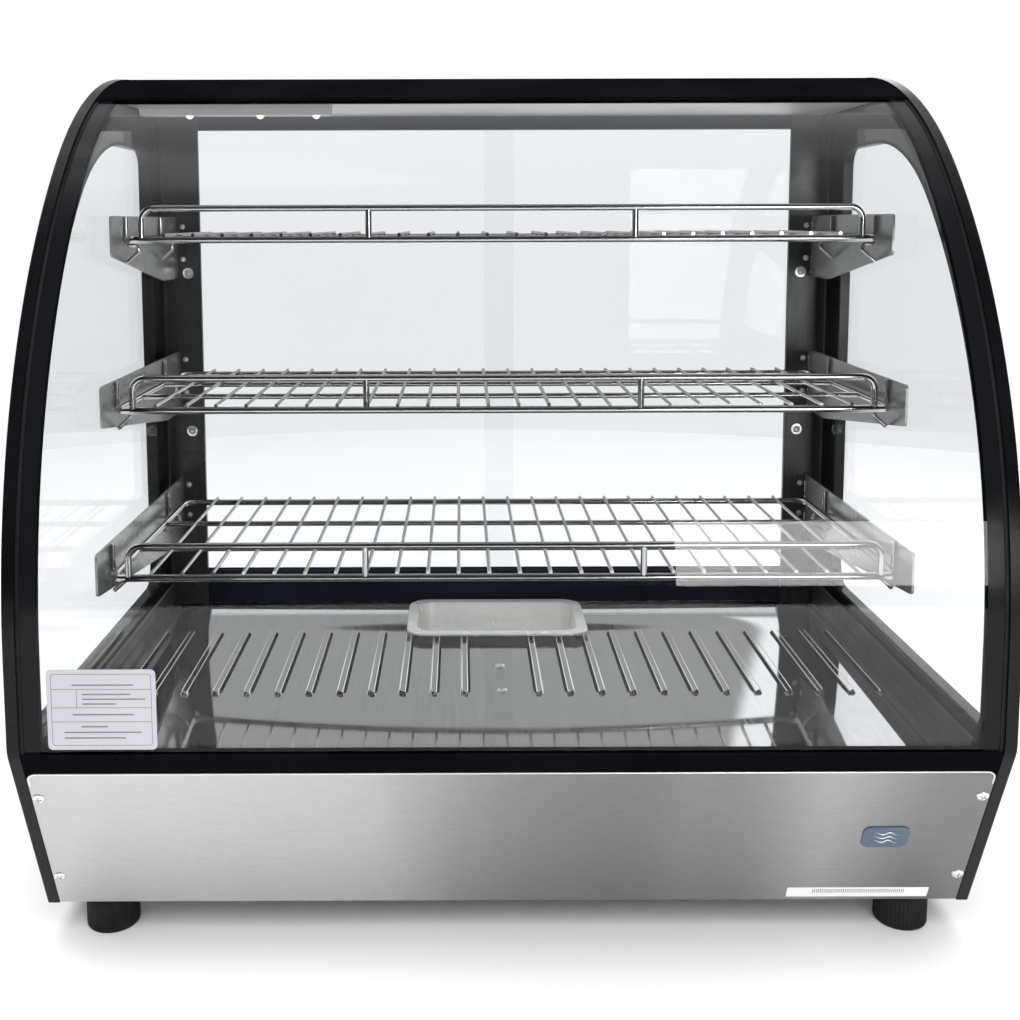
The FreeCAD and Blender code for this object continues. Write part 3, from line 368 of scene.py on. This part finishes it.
MATERIALS = {
    "black_gloss": black_gloss(),
    "tempered_glass": clear_glass("tempered_glass", (0.972, 0.977, 0.977), 0.006),
    "front_glass": clear_glass("front_glass", (0.938, 0.944, 0.944), 0.017, 0.3245),
    "black_rubber": rubber(),
    "brushed_steel": brushed_steel(),
    "front_steel": front_steel(),
    "deck_mirror": deck_mirror(),
    "bracket_steel": polished_steel("bracket_steel", 0.30, 0.38, (0.2, 0.28), 0.55),
    "ceiling_steel": polished_steel("ceiling_steel", 0.80, 0.88, (0.3, 0.4), 0.5),
    "trim_black": black_gloss("trim_black", 0.0),
    "rail_black": black_gloss("rail_black", 0.05, (3.0, 4.0, 6.0)),
    "satin_steel": satin_steel(),
    "chromed_wire": chromed_wire(),
    "dark_sheet": dark_sheet(),
    "fastener_steel": polished_steel("fastener_steel", 0.70, 0.82, (0.16, 0.26), 0.7),
    "zinc_steel": zinc_steel(),
    "heater_sheath": heater_sheath(),
    "mineral_wool": mineral_wool(),
    "black_plastic": moulded_plastic("black_plastic", (0.012, 0.012, 0.012), (0.026, 0.026, 0.026)),
    "nylon": moulded_plastic("nylon", (0.72, 0.71, 0.65), (0.82, 0.81, 0.76)),
    "red_plastic": moulded_plastic("red_plastic", (0.42, 0.015, 0.01), (0.55, 0.03, 0.02), (0.12, 0.22)),
    "green_plastic": moulded_plastic("green_plastic", (0.01, 0.24, 0.04), (0.02, 0.33, 0.07), (0.12, 0.22)),
    "lamp_lens": lens_plastic(),
    "lamp_grey": moulded_plastic("lamp_grey", (0.42, 0.42, 0.42), (0.50, 0.50, 0.50), (0.3, 0.4)),
    # Near-white steel for thin rods and beads that paint edge highlights.
    "painted_highlight_steel": polished_steel("painted_highlight_steel", 0.90, 0.97, (0.15, 0.25), 0.4),
    "sticker_film": moulded_plastic("sticker_film", (0.41, 0.41, 0.44), (0.45, 0.45, 0.48), (0.3, 0.42)),
    "strip_film": moulded_plastic("strip_film", (0.80, 0.80, 0.80), (0.86, 0.86, 0.86), (0.4, 0.5)),
    "print_ink": moulded_plastic("print_ink", (0.10, 0.10, 0.11), (0.16, 0.16, 0.17), (0.5, 0.6)),
    "badge_enamel": moulded_plastic("badge_enamel", (0.05, 0.08, 0.12), (0.07, 0.11, 0.16), (0.1, 0.18)),
    "badge_silver": polished_steel("badge_silver", 0.75, 0.85, (0.2, 0.3)),
    "display_smoke": moulded_plastic("display_smoke", (0.015, 0.008, 0.008), (0.022, 0.012, 0.012),
                                     (0.06, 0.12)),
    "display_red": lit_plastic("display_red", (0.9, 0.05, 0.02), 1.4),
}


def dress_nodes():
    """Every CAD node gets the material of its slot in the record, or the special material listed for it here.
    """
    slots = {entry["node"]: entry["material_slot"] for entry in frame["record"]["subparts"]}
    special = {"water_pan": "satin_steel", "front_glass": "front_glass", "front_panel": "front_steel",
               "deck_plate": "deck_mirror", "top_front_trim": "trim_black", "lower_front_trim": "trim_black",
               "lower_track": "rail_black", "upper_track": "rail_black", "lamp_housing": "lamp_grey",
               "ceiling_liner": "ceiling_steel"}
    special.update({name: "bracket_steel" for name in NODES if name.startswith("bracket_")})
    for name, node in NODES.items():
        material = MATERIALS[special.get(name, slots[name])]
        node.data.materials.clear()
        node.data.materials.append(material)


# ---- small helpers for meshes ------------------------------------------------------------------
def islands(node):
    """Centre of the box round each separate solid of a CAD node."""
    form = bmesh.new()
    form.from_mesh(NODES[node].data)
    bmesh.ops.remove_doubles(form, verts=form.verts, dist=1e-6)
    left, centres = set(form.verts), []
    while left:
        stack, group = [left.pop()], []
        while stack:
            vert = stack.pop()
            group.append(vert.co.copy())
            for edge in vert.link_edges:
                other = edge.other_vert(vert)
                if other in left:
                    left.remove(other)
                    stack.append(other)
        centres.append(Vector([(min(c[i] for c in group) + max(c[i] for c in group)) / 2
                               for i in range(3)]))
    form.free()
    return sorted(centres, key=lambda c: (round(c.x, 4), round(c.y, 4), round(c.z, 4)))


def piece(name, form, material, body="cabinet", smooth=35.0):
    """Object from a bmesh, riding on a body."""
    bmesh.ops.recalc_face_normals(form, faces=form.faces)
    mesh = bpy.data.meshes.new(name)
    form.to_mesh(mesh)
    form.free()
    obj = bpy.data.objects.new(name, mesh)
    bpy.context.scene.collection.objects.link(obj)
    mesh.materials.append(MATERIALS[material])
    if smooth:
        mesh.shade_smooth()
        mesh.set_sharp_from_angle(angle=math.radians(smooth))
    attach(obj, body)
    return obj


def rings_to_faces(form, rings, close_ends=True):
    """Skins a list of equally long closed rings."""
    loops = [[form.verts.new(co) for co in ring] for ring in rings]
    for low, high in zip(loops, loops[1:]):
        for i in range(len(low)):
            j = (i + 1) % len(low)
            form.faces.new((low[i], low[j], high[j], high[i]))
    if close_ends:
        form.faces.new(loops[0][::-1])
        form.faces.new(loops[-1])


def turn_to(normal):
    """Rotation that takes +Z to the normal."""
    return Vector((0, 0, 1)).rotation_difference(Vector(normal)).to_matrix().to_4x4()


def circle(radius, steps):
    """Points round a circle about the origin."""
    return [(radius * math.cos(2 * math.pi * k / steps), radius * math.sin(2 * math.pi * k / steps))
            for k in range(steps)]


def rounded_rect(width, height, radius, steps=6):
    """Outline in the XY plane, centred."""
    points = []
    for cx, cy, start in ((1, 1, 0), (-1, 1, 90), (-1, -1, 180), (1, -1, 270)):
        for k in range(steps + 1):
            a = math.radians(start + 90.0 * k / steps)
            points.append((cx * (width / 2 - radius) + radius * math.cos(a),
                           cy * (height / 2 - radius) + radius * math.sin(a)))
    return points


def slab(form, outline, z0, z1, matrix, edge=0.0):
    """Flat plate from an outline, with a small bevel round its upper edge."""
    cx = sum(p[0] for p in outline) / len(outline)
    cy = sum(p[1] for p in outline) / len(outline)

    def ring(z, inset):
        points = []
        for px, py in outline:
            reach = math.hypot(px - cx, py - cy)
            k = (reach - inset) / reach
            points.append(matrix @ Vector((cx + (px - cx) * k, cy + (py - cy) * k, z)))
        return points

    rings_to_faces(form, [ring(z0, 0.0), ring(z1 - edge, 0.0), ring(z1, edge)])


def plate(form, x0, x1, y0, y1, z0, z1, matrix):
    """Flat rectangular plate."""
    slab(form, [(x1, y1), (x0, y1), (x0, y0), (x1, y0)], z0, z1, matrix)


def cross_head(form, matrix, radius, height, washer=0.0):
    """Domed screw head with a cross recess, as a height field in polar steps."""
    spokes, steps = 48, 14
    reach, half = 0.56 * radius, 0.13 * radius
    rings = []
    if washer:
        for r, z in ((washer, 0.0), (washer, 0.0006), (radius * 1.02, 0.0007)):
            rings.append([matrix @ Vector((px, py, z)) for px, py in circle(r, spokes)])
    base = 0.0007 if washer else 0.0
    for step in range(steps, 0, -1):
        share = step / steps
        ring = []
        for k in range(spokes):
            angle = 2 * math.pi * k / spokes
            px, py = radius * share * math.cos(angle), radius * share * math.sin(angle)
            z = base + height * math.sqrt(max(0.0, 1.0 - share ** 2.6))
            inside = min(abs(px), abs(py)) < half and max(abs(px), abs(py)) < reach
            sunk = z - (0.55 * height if inside else 0.0)
            ring.append(matrix @ Vector((px, py, max(base * 0.5, sunk))))
        rings.append(ring)
    rings_to_faces(form, rings)


# ---- fasteners ---------------------------------------------------------------------------------
SLOPE = math.atan2(TOE_DEPTH, SLOPE_RISE)
FRONT_NORMAL = Vector((0.0, -math.cos(SLOPE), -math.sin(SLOPE)))


def slope_matrix():
    """Frame of the slanted front: x to the right, y up the slope, z outwards."""
    up = Vector((0.0, -math.sin(SLOPE), math.cos(SLOPE)))
    side = Vector((1.0, 0.0, 0.0))
    matrix = Matrix((side, up, FRONT_NORMAL)).transposed().to_4x4()
    low = CAD_BOX[0]
    return Matrix.Translation((0.0, low[1] + TOE_DEPTH * MM, FOOT_HEIGHT * MM)) @ matrix


def up_slope(z):
    """Distance up the slanted front at height z."""
    return (z - FOOT_HEIGHT * MM) / math.cos(SLOPE)


def make_screws():
    """Cross-headed screws at the CAD's screws, and rivets up the posts."""
    form = bmesh.new()
    for k, centre in enumerate(islands("front_screws")):
        at = centre - FRONT_NORMAL * 1.0 * MM
        turned = turn_to(FRONT_NORMAL) @ Matrix.Rotation(0.5 * k, 4, "Z")
        cross_head(form, Matrix.Translation(at) @ turned, 4.6 * MM, 1.95 * MM)
    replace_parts(piece("front_screw_heads", form, "fastener_steel"), "front_screws")

    form = bmesh.new()
    for k, centre in enumerate(islands("deck_screws")):
        at = centre - Vector((0, 0, 1.2 * MM))
        cross_head(form, Matrix.Translation(at) @ Matrix.Rotation(0.4 + 0.7 * k, 4, "Z"),
                   4.7 * MM, 2.3 * MM)
    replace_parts(piece("deck_screw_heads", form, "fastener_steel"), "deck_screws")

    form = bmesh.new()
    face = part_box("post_left")[0][1] + 22.0 * MM
    turned = turn_to((0, -1, 0))
    for k, centre in enumerate(islands("post_screws")):
        at = Vector((centre.x, face, centre.z))
        cross_head(form, Matrix.Translation(at) @ turned @ Matrix.Rotation(0.3 + k, 4, "Z"),
                   3.6 * MM, 2.2 * MM, washer=5.5 * MM)
    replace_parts(piece("post_screw_heads", form, "fastener_steel"), "post_screws")

    form = bmesh.new()
    dome = [(3.1, 0.0), (3.0, 0.5), (2.4, 1.2), (1.4, 1.7), (0.4, 1.9)]
    for side in (-1, 1):
        for z in RIVET_HEIGHTS:
            matrix = Matrix.Translation(Vector((side * RIVET_X * MM, face, z * MM))) @ turned
            rings_to_faces(form, [[matrix @ Vector((px, py, h * MM)) for px, py in circle(r * MM, 24)]
                                  for r, h in dome])
    piece("post_rivets", form, "fastener_steel")


# ---- feet --------------------------------------------------------------------------------------
def make_feet():
    """Fluted rubber feet with a smooth collar and a rounded sole."""
    form = bmesh.new()
    ribs, per_rib = 40, 6
    count = ribs * per_rib
    profile = [(0.0, 17.6, 0.0), (0.35, 18.9, 0.0), (1.3, 19.7, 0.3), (3.0, 19.95, 1.0), (22.5, 19.95, 1.0),
               (24.0, 19.7, 0.2), (24.6, 19.2, 0.0), (25.2, 19.7, 0.0), (27.6, 19.9, 0.0), (28.0, 19.6, 0.0)]
    for centre in islands("feet"):
        rings = []
        for z, radius, depth in profile:
            ring = []
            for k in range(count):
                angle = 2 * math.pi * k / count
                cut = 0.75 * depth * (0.5 - 0.5 * math.cos(ribs * angle)) ** 2
                r = (radius - cut) * MM
                ring.append((centre.x + r * math.cos(angle), centre.y + r * math.sin(angle), z * MM))
            rings.append(ring)
        rings_to_faces(form, rings)
    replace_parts(piece("fluted_feet", form, "black_rubber"), "feet")


# ---- front: sticker, strip, badge, edge bead painted as a highlight ----------------------------
def make_labels():
    """Blank sticker and strip with plain lines, and a plain badge with waves."""
    front = CAD_BOX[0][1]
    upright = Matrix.Translation((-281.5 * MM, front + 3.0 * MM, 206.0 * MM)) @ Matrix(
        ((1, 0, 0, 0), (0, 0, -1, 0), (0, 1, 0, 0), (0, 0, 0, 1)))
    form = bmesh.new()
    slab(form, rounded_rect(75 * MM, 57 * MM, 3.4 * MM), 0.0, 0.28 * MM, upright, 0.08 * MM)
    piece("blank_sticker", form, "sticker_film")

    form = bmesh.new()
    z0, z1, w = 0.28 * MM, 0.31 * MM, 0.4 * MM
    frame_out = rounded_rect(69 * MM, 51 * MM, 2.4 * MM)
    frame_in = rounded_rect(68.2 * MM, 50.2 * MM, 2.0 * MM)
    rings_to_faces(form, [[upright @ Vector((*p, z0)) for p in frame_out],
                          [upright @ Vector((*p, z1)) for p in frame_out],
                          [upright @ Vector((*p, z1)) for p in frame_in],
                          [upright @ Vector((*p, z0)) for p in frame_in]], close_ends=False)
    for level in (14.5, 1.5, -8.5):
        plate(form, -34.2 * MM, 34.2 * MM, level * MM - w / 2, level * MM + w / 2, z0, z1, upright)
    plate(form, -17.0 * MM - w / 2, -17.0 * MM + w / 2, 1.5 * MM, 14.5 * MM, z0, z1, upright)
    for level, left, right in ((17.6, -20.0, 22.0), (11.0, -13.0, 20.0), (7.6, -13.0, 30.0),
                               (4.2, -13.0, 10.0), (-3.4, -20.0, 22.0), (-12.0, -14.0, 4.0),
                               (-16.0, -26.0, 27.0), (-20.0, -26.0, 16.0)):
        plate(form, left * MM, right * MM, (level - 0.45) * MM, (level + 0.45) * MM, z0, z1, upright)
    piece("sticker_rules", form, "print_ink", smooth=0)

    slope = slope_matrix()
    lift = -0.4 * MM
    form = bmesh.new()
    strip = slope @ Matrix.Translation((262.0 * MM, 9.5 * MM, lift))
    slab(form, rounded_rect(106 * MM, 10.5 * MM, 0.8 * MM), 0.0, 0.2 * MM, strip, 0.05 * MM)
    piece("blank_strip", form, "strip_film")

    form = bmesh.new()
    for k in range(48):
        x = (-34.0 + k * 1.45) * MM
        plate(form, x, x + 0.6 * MM, -0.6 * MM, 3.6 * MM, 0.2 * MM, 0.22 * MM, strip)
    piece("strip_bars", form, "print_ink", smooth=0)

    form = bmesh.new()
    badge = slope @ Matrix.Translation((272.0 * MM, 73.0 * MM, lift))
    slab(form, rounded_rect(34 * MM, 22 * MM, 6.0 * MM, 10), 0.0, 0.9 * MM, badge, 0.3 * MM)
    piece("plain_badge", form, "badge_enamel")

    form = bmesh.new()
    for row in range(3):
        rings = []
        for k in range(41):
            t = k / 40
            x = (-10.0 + 20.0 * t) * MM
            y = ((row - 1) * 4.2 + 1.1 * math.sin(4 * math.pi * t)) * MM
            half = 0.55 * MM * math.sin(math.pi * min(1.0, max(0.02, t)))
            rings.append([badge @ Vector((x, y + half * share, z * MM))
                          for share, z in ((-1.0, 0.9), (1.0, 0.9), (0.6, 1.05), (-0.6, 1.05))])
        rings_to_faces(form, rings)
    piece("badge_waves", form, "badge_silver")


def make_panel_highlight_bead():
    """Rolled edge bead along the top and the rounded corners of the steel front, in near-white steel as a
    painted highlight.
    """
    slope = slope_matrix()
    top = up_slope(FRONT_PANEL_TOP * MM) / MM
    turn_x, turn_y = FRONT_PANEL_HALF - CORNER_RADIUS, top - CORNER_RADIUS
    reach = CORNER_RADIUS - 0.3
    angles = [math.radians(a) for a in range(0, 91, 15)]
    line = [(-FRONT_PANEL_HALF + 0.3, top - 12.0)]
    line += [(-turn_x - reach * math.cos(a), turn_y + reach * math.sin(a)) for a in angles]
    line += [(turn_x + reach * math.sin(a), turn_y + reach * math.cos(a)) for a in angles]
    line += [(FRONT_PANEL_HALF - 0.3, top - 12.0)]
    curve = bpy.data.curves.new("front_panel_highlight_bead", "CURVE")
    curve.dimensions = "3D"
    curve.bevel_depth = 0.55 * MM
    curve.bevel_resolution = 3
    spline = curve.splines.new("POLY")
    spline.points.add(len(line) - 1)
    for point, (x, y) in zip(spline.points, line):
        point.co = (*(slope @ Vector((x * MM, y * MM, -0.75 * MM))), 1.0)
    bead = bpy.data.objects.new("front_panel_highlight_bead", curve)
    bpy.context.scene.collection.objects.link(bead)
    curve.materials.append(MATERIALS["painted_highlight_steel"])
    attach(bead, "cabinet")


# ---- cabinet inside ----------------------------------------------------------------------------
def make_louvre_shade_and_highlights():
    """Black sheets on every louvre's front facet and inner side, painted shade for its dark air mouths, and
    thin bright rods on its edges as painted highlights.
    """
    form = bmesh.new()
    front = CAD_BOX[0][1]
    deck = DECK_Z * MM
    for k in range(LOUVRES_PER_SIDE):
        for side in (-1, 1):
            x = side * (LOUVRE_FIRST_X + LOUVRE_PITCH * k) * MM

            def at(across, d, height):
                return Vector((x + side * across * MM, front + d * MM, deck + height * MM))

            # Black triangle on the front facet: painted shade of the louvre's open mouth.
            tip, top_in, top_out = at(1.75, 193.0, 0.0), at(-2.4, 197.0, 2.4), at(2.4, 201.0, 2.4)
            centre = (tip + top_in + top_out) / 3
            normal = (top_in - tip).cross(top_out - tip).normalized()
            normal = normal if normal.y < 0 else -normal
            inner = [centre + (corner - centre) * 0.72 for corner in (tip, top_in, top_out)]
            low = [form.verts.new(co + normal * 0.03 * MM) for co in inner]
            high = [form.verts.new(centre + (co - centre) * 0.9 + normal * 0.08 * MM) for co in inner]
            form.faces.new(high)
            for i in range(3):
                form.faces.new((low[i], low[(i + 1) % 3], high[(i + 1) % 3], high[i]))
            # Black strip along the inner side: painted shade of the open slot.
            wall = [at(-4.9, 204.0, 0.1), at(-4.9, 350.0, 0.1), at(-2.7, 350.0, 2.1), at(-2.7, 204.0, 2.1)]
            outward = Vector((-side * 0.67, 0.0, 0.74)) * 0.06 * MM
            back = [form.verts.new(co - outward) for co in wall]
            front_ring = [form.verts.new(co + outward) for co in wall]
            form.faces.new(front_ring)
            for i in range(4):
                form.faces.new((back[i], back[(i + 1) % 4], front_ring[(i + 1) % 4], front_ring[i]))
    piece("louvre_mouth_painted_shade", form, "trim_black", smooth=0)

    # Bright rods along each louvre's top edges and its low outer edge are painted highlights.
    form = bmesh.new()
    rod = circle(0.42 * MM, 8)
    for k in range(LOUVRES_PER_SIDE):
        for side in (-1, 1):
            x = side * (LOUVRE_FIRST_X + LOUVRE_PITCH * k) * MM
            for across, start in ((-2.4, 197.0), (2.4, 201.0), (3.5, 197.5)):
                low = across == 3.5
                height = -0.35 if low else 2.35
                centre = Vector((x + side * across * MM, 0.0, deck + height * MM))
                stations = ((start, 0.3), (start + 1.0, 1.0), (351.0, 1.0), (352.0, 0.3))
                rings_to_faces(form, [[(centre.x + rx * share, front + d * MM, centre.z + rz * share)
                                       for rx, rz in rod] for d, share in stations])
    piece("louvre_edge_highlights", form, "painted_highlight_steel")


def make_lamp_points():
    """Small bright lamps in grey collars under the lamp bar."""
    form = bmesh.new()
    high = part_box("lamp_lenses")[1][2]
    profile = [(3.4, 0.0), (3.4, -1.0), (2.8, -1.4), (2.4, -1.4), (2.2, -2.0), (1.4, -2.6), (0.4, -2.8)]
    for centre in islands("lamp_lenses"):
        rings_to_faces(form, [[(centre.x + px, centre.y + py, high + h * MM)
                               for px, py in circle(r * MM, 28)] for r, h in profile])
    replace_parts(piece("lamp_points", form, "lamp_lens"), "lamp_lenses")


def make_side_rails():
    """Stepped black channel along the foot of each side pane."""
    front = CAD_BOX[0][1]
    profile = [(333.4, 138.1), (333.4, 168.0), (331.6, 169.0), (330.6, 168.0), (330.6, 156.0), (328.4, 155.0),
               (327.6, 147.0), (325.0, 146.0), (324.2, 144.6), (324.2, 138.1)]
    form = bmesh.new()
    for side in (-1, 1):
        rings_to_faces(form, [[(side * x * MM, front + d * MM, z * MM) for x, z in profile]
                              for d in (36.0, 36.6, 417.4, 418.0)])
    piece("pane_rails", form, "black_plastic", smooth=30.0)


# ---- service side ------------------------------------------------------------------------------
def rear_matrix(x, z, y):
    """Frame on the rear panel: x to the left seen from behind, y up, z outwards."""
    return Matrix.Translation((x, y, z)) @ Matrix(((-1, 0, 0, 0), (0, 0, 1, 0), (0, 1, 0, 0), (0, 0, 0, 1)))


SEGMENTS = {"a": (-1.6, 4.2, 1.6, 4.9), "g": (-1.6, -0.35, 1.6, 0.35), "d": (-1.6, -4.9, 1.6, -4.2),
            "f": (-2.4, 0.5, -1.7, 4.1), "b": (1.7, 0.5, 2.4, 4.1), "e": (-2.4, -4.1, -1.7, -0.5),
            "c": (1.7, -4.1, 2.4, -0.5)}


def make_controls():
    """Marks of the knob and the rockers, and the display's window and digits."""
    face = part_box("rear_panel")[1][1]
    dial = rear_matrix(KNOB_X * MM, CONTROL_Z * MM, face)
    form = bmesh.new()
    for k in range(19):
        angle = math.radians(225.0 - 15.0 * k)
        turned = dial @ Matrix.Rotation(angle, 4, "Z")
        long = 2.6 if k % 3 == 0 else 1.5
        plate(form, 19.2 * MM, (19.2 + long) * MM, -0.25 * MM, 0.25 * MM, 0.0, 0.06 * MM, turned)
    piece("dial_ticks", form, "print_ink", smooth=0)

    form = bmesh.new()
    knob_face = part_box("thermostat_knob")[1][1]
    pointer = rear_matrix(KNOB_X * MM, CONTROL_Z * MM, knob_face - 0.12 * MM)
    pointer = pointer @ Matrix.Rotation(math.radians(225), 4, "Z")
    plate(form, 5.0 * MM, 14.5 * MM, -0.6 * MM, 0.6 * MM, 0.0, 0.12 * MM, pointer)
    piece("knob_pointer", form, "strip_film", body="thermostat_knob", smooth=0)

    window = rear_matrix(DISPLAY_X * MM, CONTROL_Z * MM, face + 1.3 * MM)
    form = bmesh.new()
    slab(form, rounded_rect(39 * MM, 15 * MM, 1.2 * MM), 0.0, 0.4 * MM, window, 0.1 * MM)
    piece("display_window", form, "display_smoke")
    form = bmesh.new()
    for offset, lit in ((-7.0, "acdefg"), (0.5, "acdfg")):
        for key in lit:
            x0, y0, x1, y1 = SEGMENTS[key]
            plate(form, (x0 + offset) * MM, (x1 + offset) * MM, y0 * MM, y1 * MM,
                  0.4 * MM, 0.45 * MM, window)
    piece("display_digits", form, "display_red", smooth=0)

    for node, body, x in ROCKERS:
        form = bmesh.new()
        middle = rear_matrix(x * MM, CONTROL_Z * MM, face - 2.5 * MM)
        middle = middle @ Matrix.Rotation(-ROCKER_TILT, 4, "X")
        lower = middle @ Matrix.Translation((0, -3.9 * MM, 5.35 * MM))
        lower = lower @ Matrix.Rotation(ROCKER_FACE_TILT, 4, "X")
        upper = middle @ Matrix.Translation((0, 3.9 * MM, 5.35 * MM))
        upper = upper @ Matrix.Rotation(-ROCKER_FACE_TILT, 4, "X")
        plate(form, -0.35 * MM, 0.35 * MM, -1.8 * MM, 1.8 * MM, 0.0, 0.06 * MM, upper)
        rings_to_faces(form, [[lower @ Vector((px * MM * s, py * MM * s, z * MM))
                               for px, py in circle(1.7, 28)]
                              for s, z in ((1.0, 0.0), (1.0, 0.06), (0.68, 0.06), (0.68, 0.0))],
                       close_ends=False)
        piece(node + "_marks", form, "strip_film", body=body, smooth=0)


# ---- stage and light ---------------------------------------------------------------------------
def make_floor():
    """Pale round floor, staged apart from the object."""
    mesh = bpy.data.meshes.new("floor")
    form = bmesh.new()
    bmesh.ops.create_circle(form, cap_ends=True, segments=96, radius=2.1)
    form.to_mesh(mesh)
    form.free()
    floor = bpy.data.objects.new("floor", mesh)
    bpy.context.scene.collection.objects.link(floor)
    t = Tree("floor")
    color = t.tint(t.spread(t.noise(0.8, 3.0), 0.0, 1.0), (0.86, 0.86, 0.865), (0.88, 0.88, 0.885))
    floor.data.materials.append(t.principled(Base_Color=color, Roughness=0.6))


def area_light(name, at, target, size, power):
    """Rectangular light turned to its target."""
    data = bpy.data.lights.new(name, "AREA")
    data.shape = "RECTANGLE"
    data.size, data.size_y = size
    data.energy = power
    lamp = bpy.data.objects.new(name, data)
    lamp.location = at
    lamp.rotation_euler = (Vector(target) - Vector(at)).to_track_quat("-Z", "Y").to_euler()
    bpy.context.scene.collection.objects.link(lamp)
    return lamp


def band(tree, value, low, high):
    """Smooth step of value from 0 at low to 1 at high."""
    node = tree.add("ShaderNodeMapRange", {"Value": value, "From Min": low, "From Max": high},
                    interpolation_type="SMOOTHSTEP")
    return node.outputs["Result"]


def make_world():
    """White backdrop; reflections see a dark room in front and soft panels behind, above and to the sides."""
    world = bpy.data.worlds.new("studio")
    world.use_nodes = True
    bpy.context.scene.world = world
    t = Tree.__new__(Tree)
    t.nodes, t.links = world.node_tree.nodes, world.node_tree.links
    background = t.nodes["Background"]
    direction = t.add("ShaderNodeTexCoord").outputs["Generated"]
    split = t.add("ShaderNodeSeparateXYZ", {0: direction})
    x, y, z = split.outputs
    turn = t.math("ARCTAN2", x, y)
    panels = [(0.5, [band(t, y, -0.05, 0.25)]),
              (0.7, [band(t, z, 0.66, 0.8), band(t, y, -0.35, 0.0)]),
              (1.3, [band(t, turn, 0.23, 0.245), band(t, turn, 1.3, 1.1), band(t, z, 0.05, 0.12),
                     band(t, z, 0.66, 0.56)]),
              (0.9, [band(t, turn, -0.75, -0.95), band(t, turn, -1.9, -1.5), band(t, z, 0.02, 0.1)])]
    total = 0.05
    for strength, masks in panels:
        product = strength
        for mask in masks:
            product = t.math("MULTIPLY", mask, product)
        total = t.math("ADD", product, total)
    seen = t.add("ShaderNodeLightPath").outputs["Is Camera Ray"]
    level = t.add("ShaderNodeMix", {0: seen, 2: total, 3: 1.03}).outputs[0]
    background.inputs["Color"].default_value = (0.985, 0.99, 1.0, 1.0)
    t.links.new(level, background.inputs["Strength"])


def make_light():
    """World, a card for the glass to reflect, and two soft fills."""
    make_world()
    card = area_light("card_right", (1.0, -2.73, 0.40), (1.0, 0.0, 0.40), (0.9, 0.64), 20.0)
    card.visible_camera = False
    for name, at, power in (("fill_front", (0.0, -1.7, 2.6), 132.0),
                            ("fill_rear", (0.0, 1.4, 2.6), 36.0)):
        fill = area_light(name, at, (0.0, 0.0, 0.0), (3.0, 3.0), power)
        fill.visible_camera = False
        fill.visible_glossy = False
    bpy.context.scene.view_settings.view_transform = "Standard"


make_camera()
make_light()
make_floor()
dress_nodes()
make_screws()
make_feet()
make_labels()
make_panel_highlight_bead()
make_louvre_shade_and_highlights()
make_lamp_points()
make_side_rails()
make_controls()
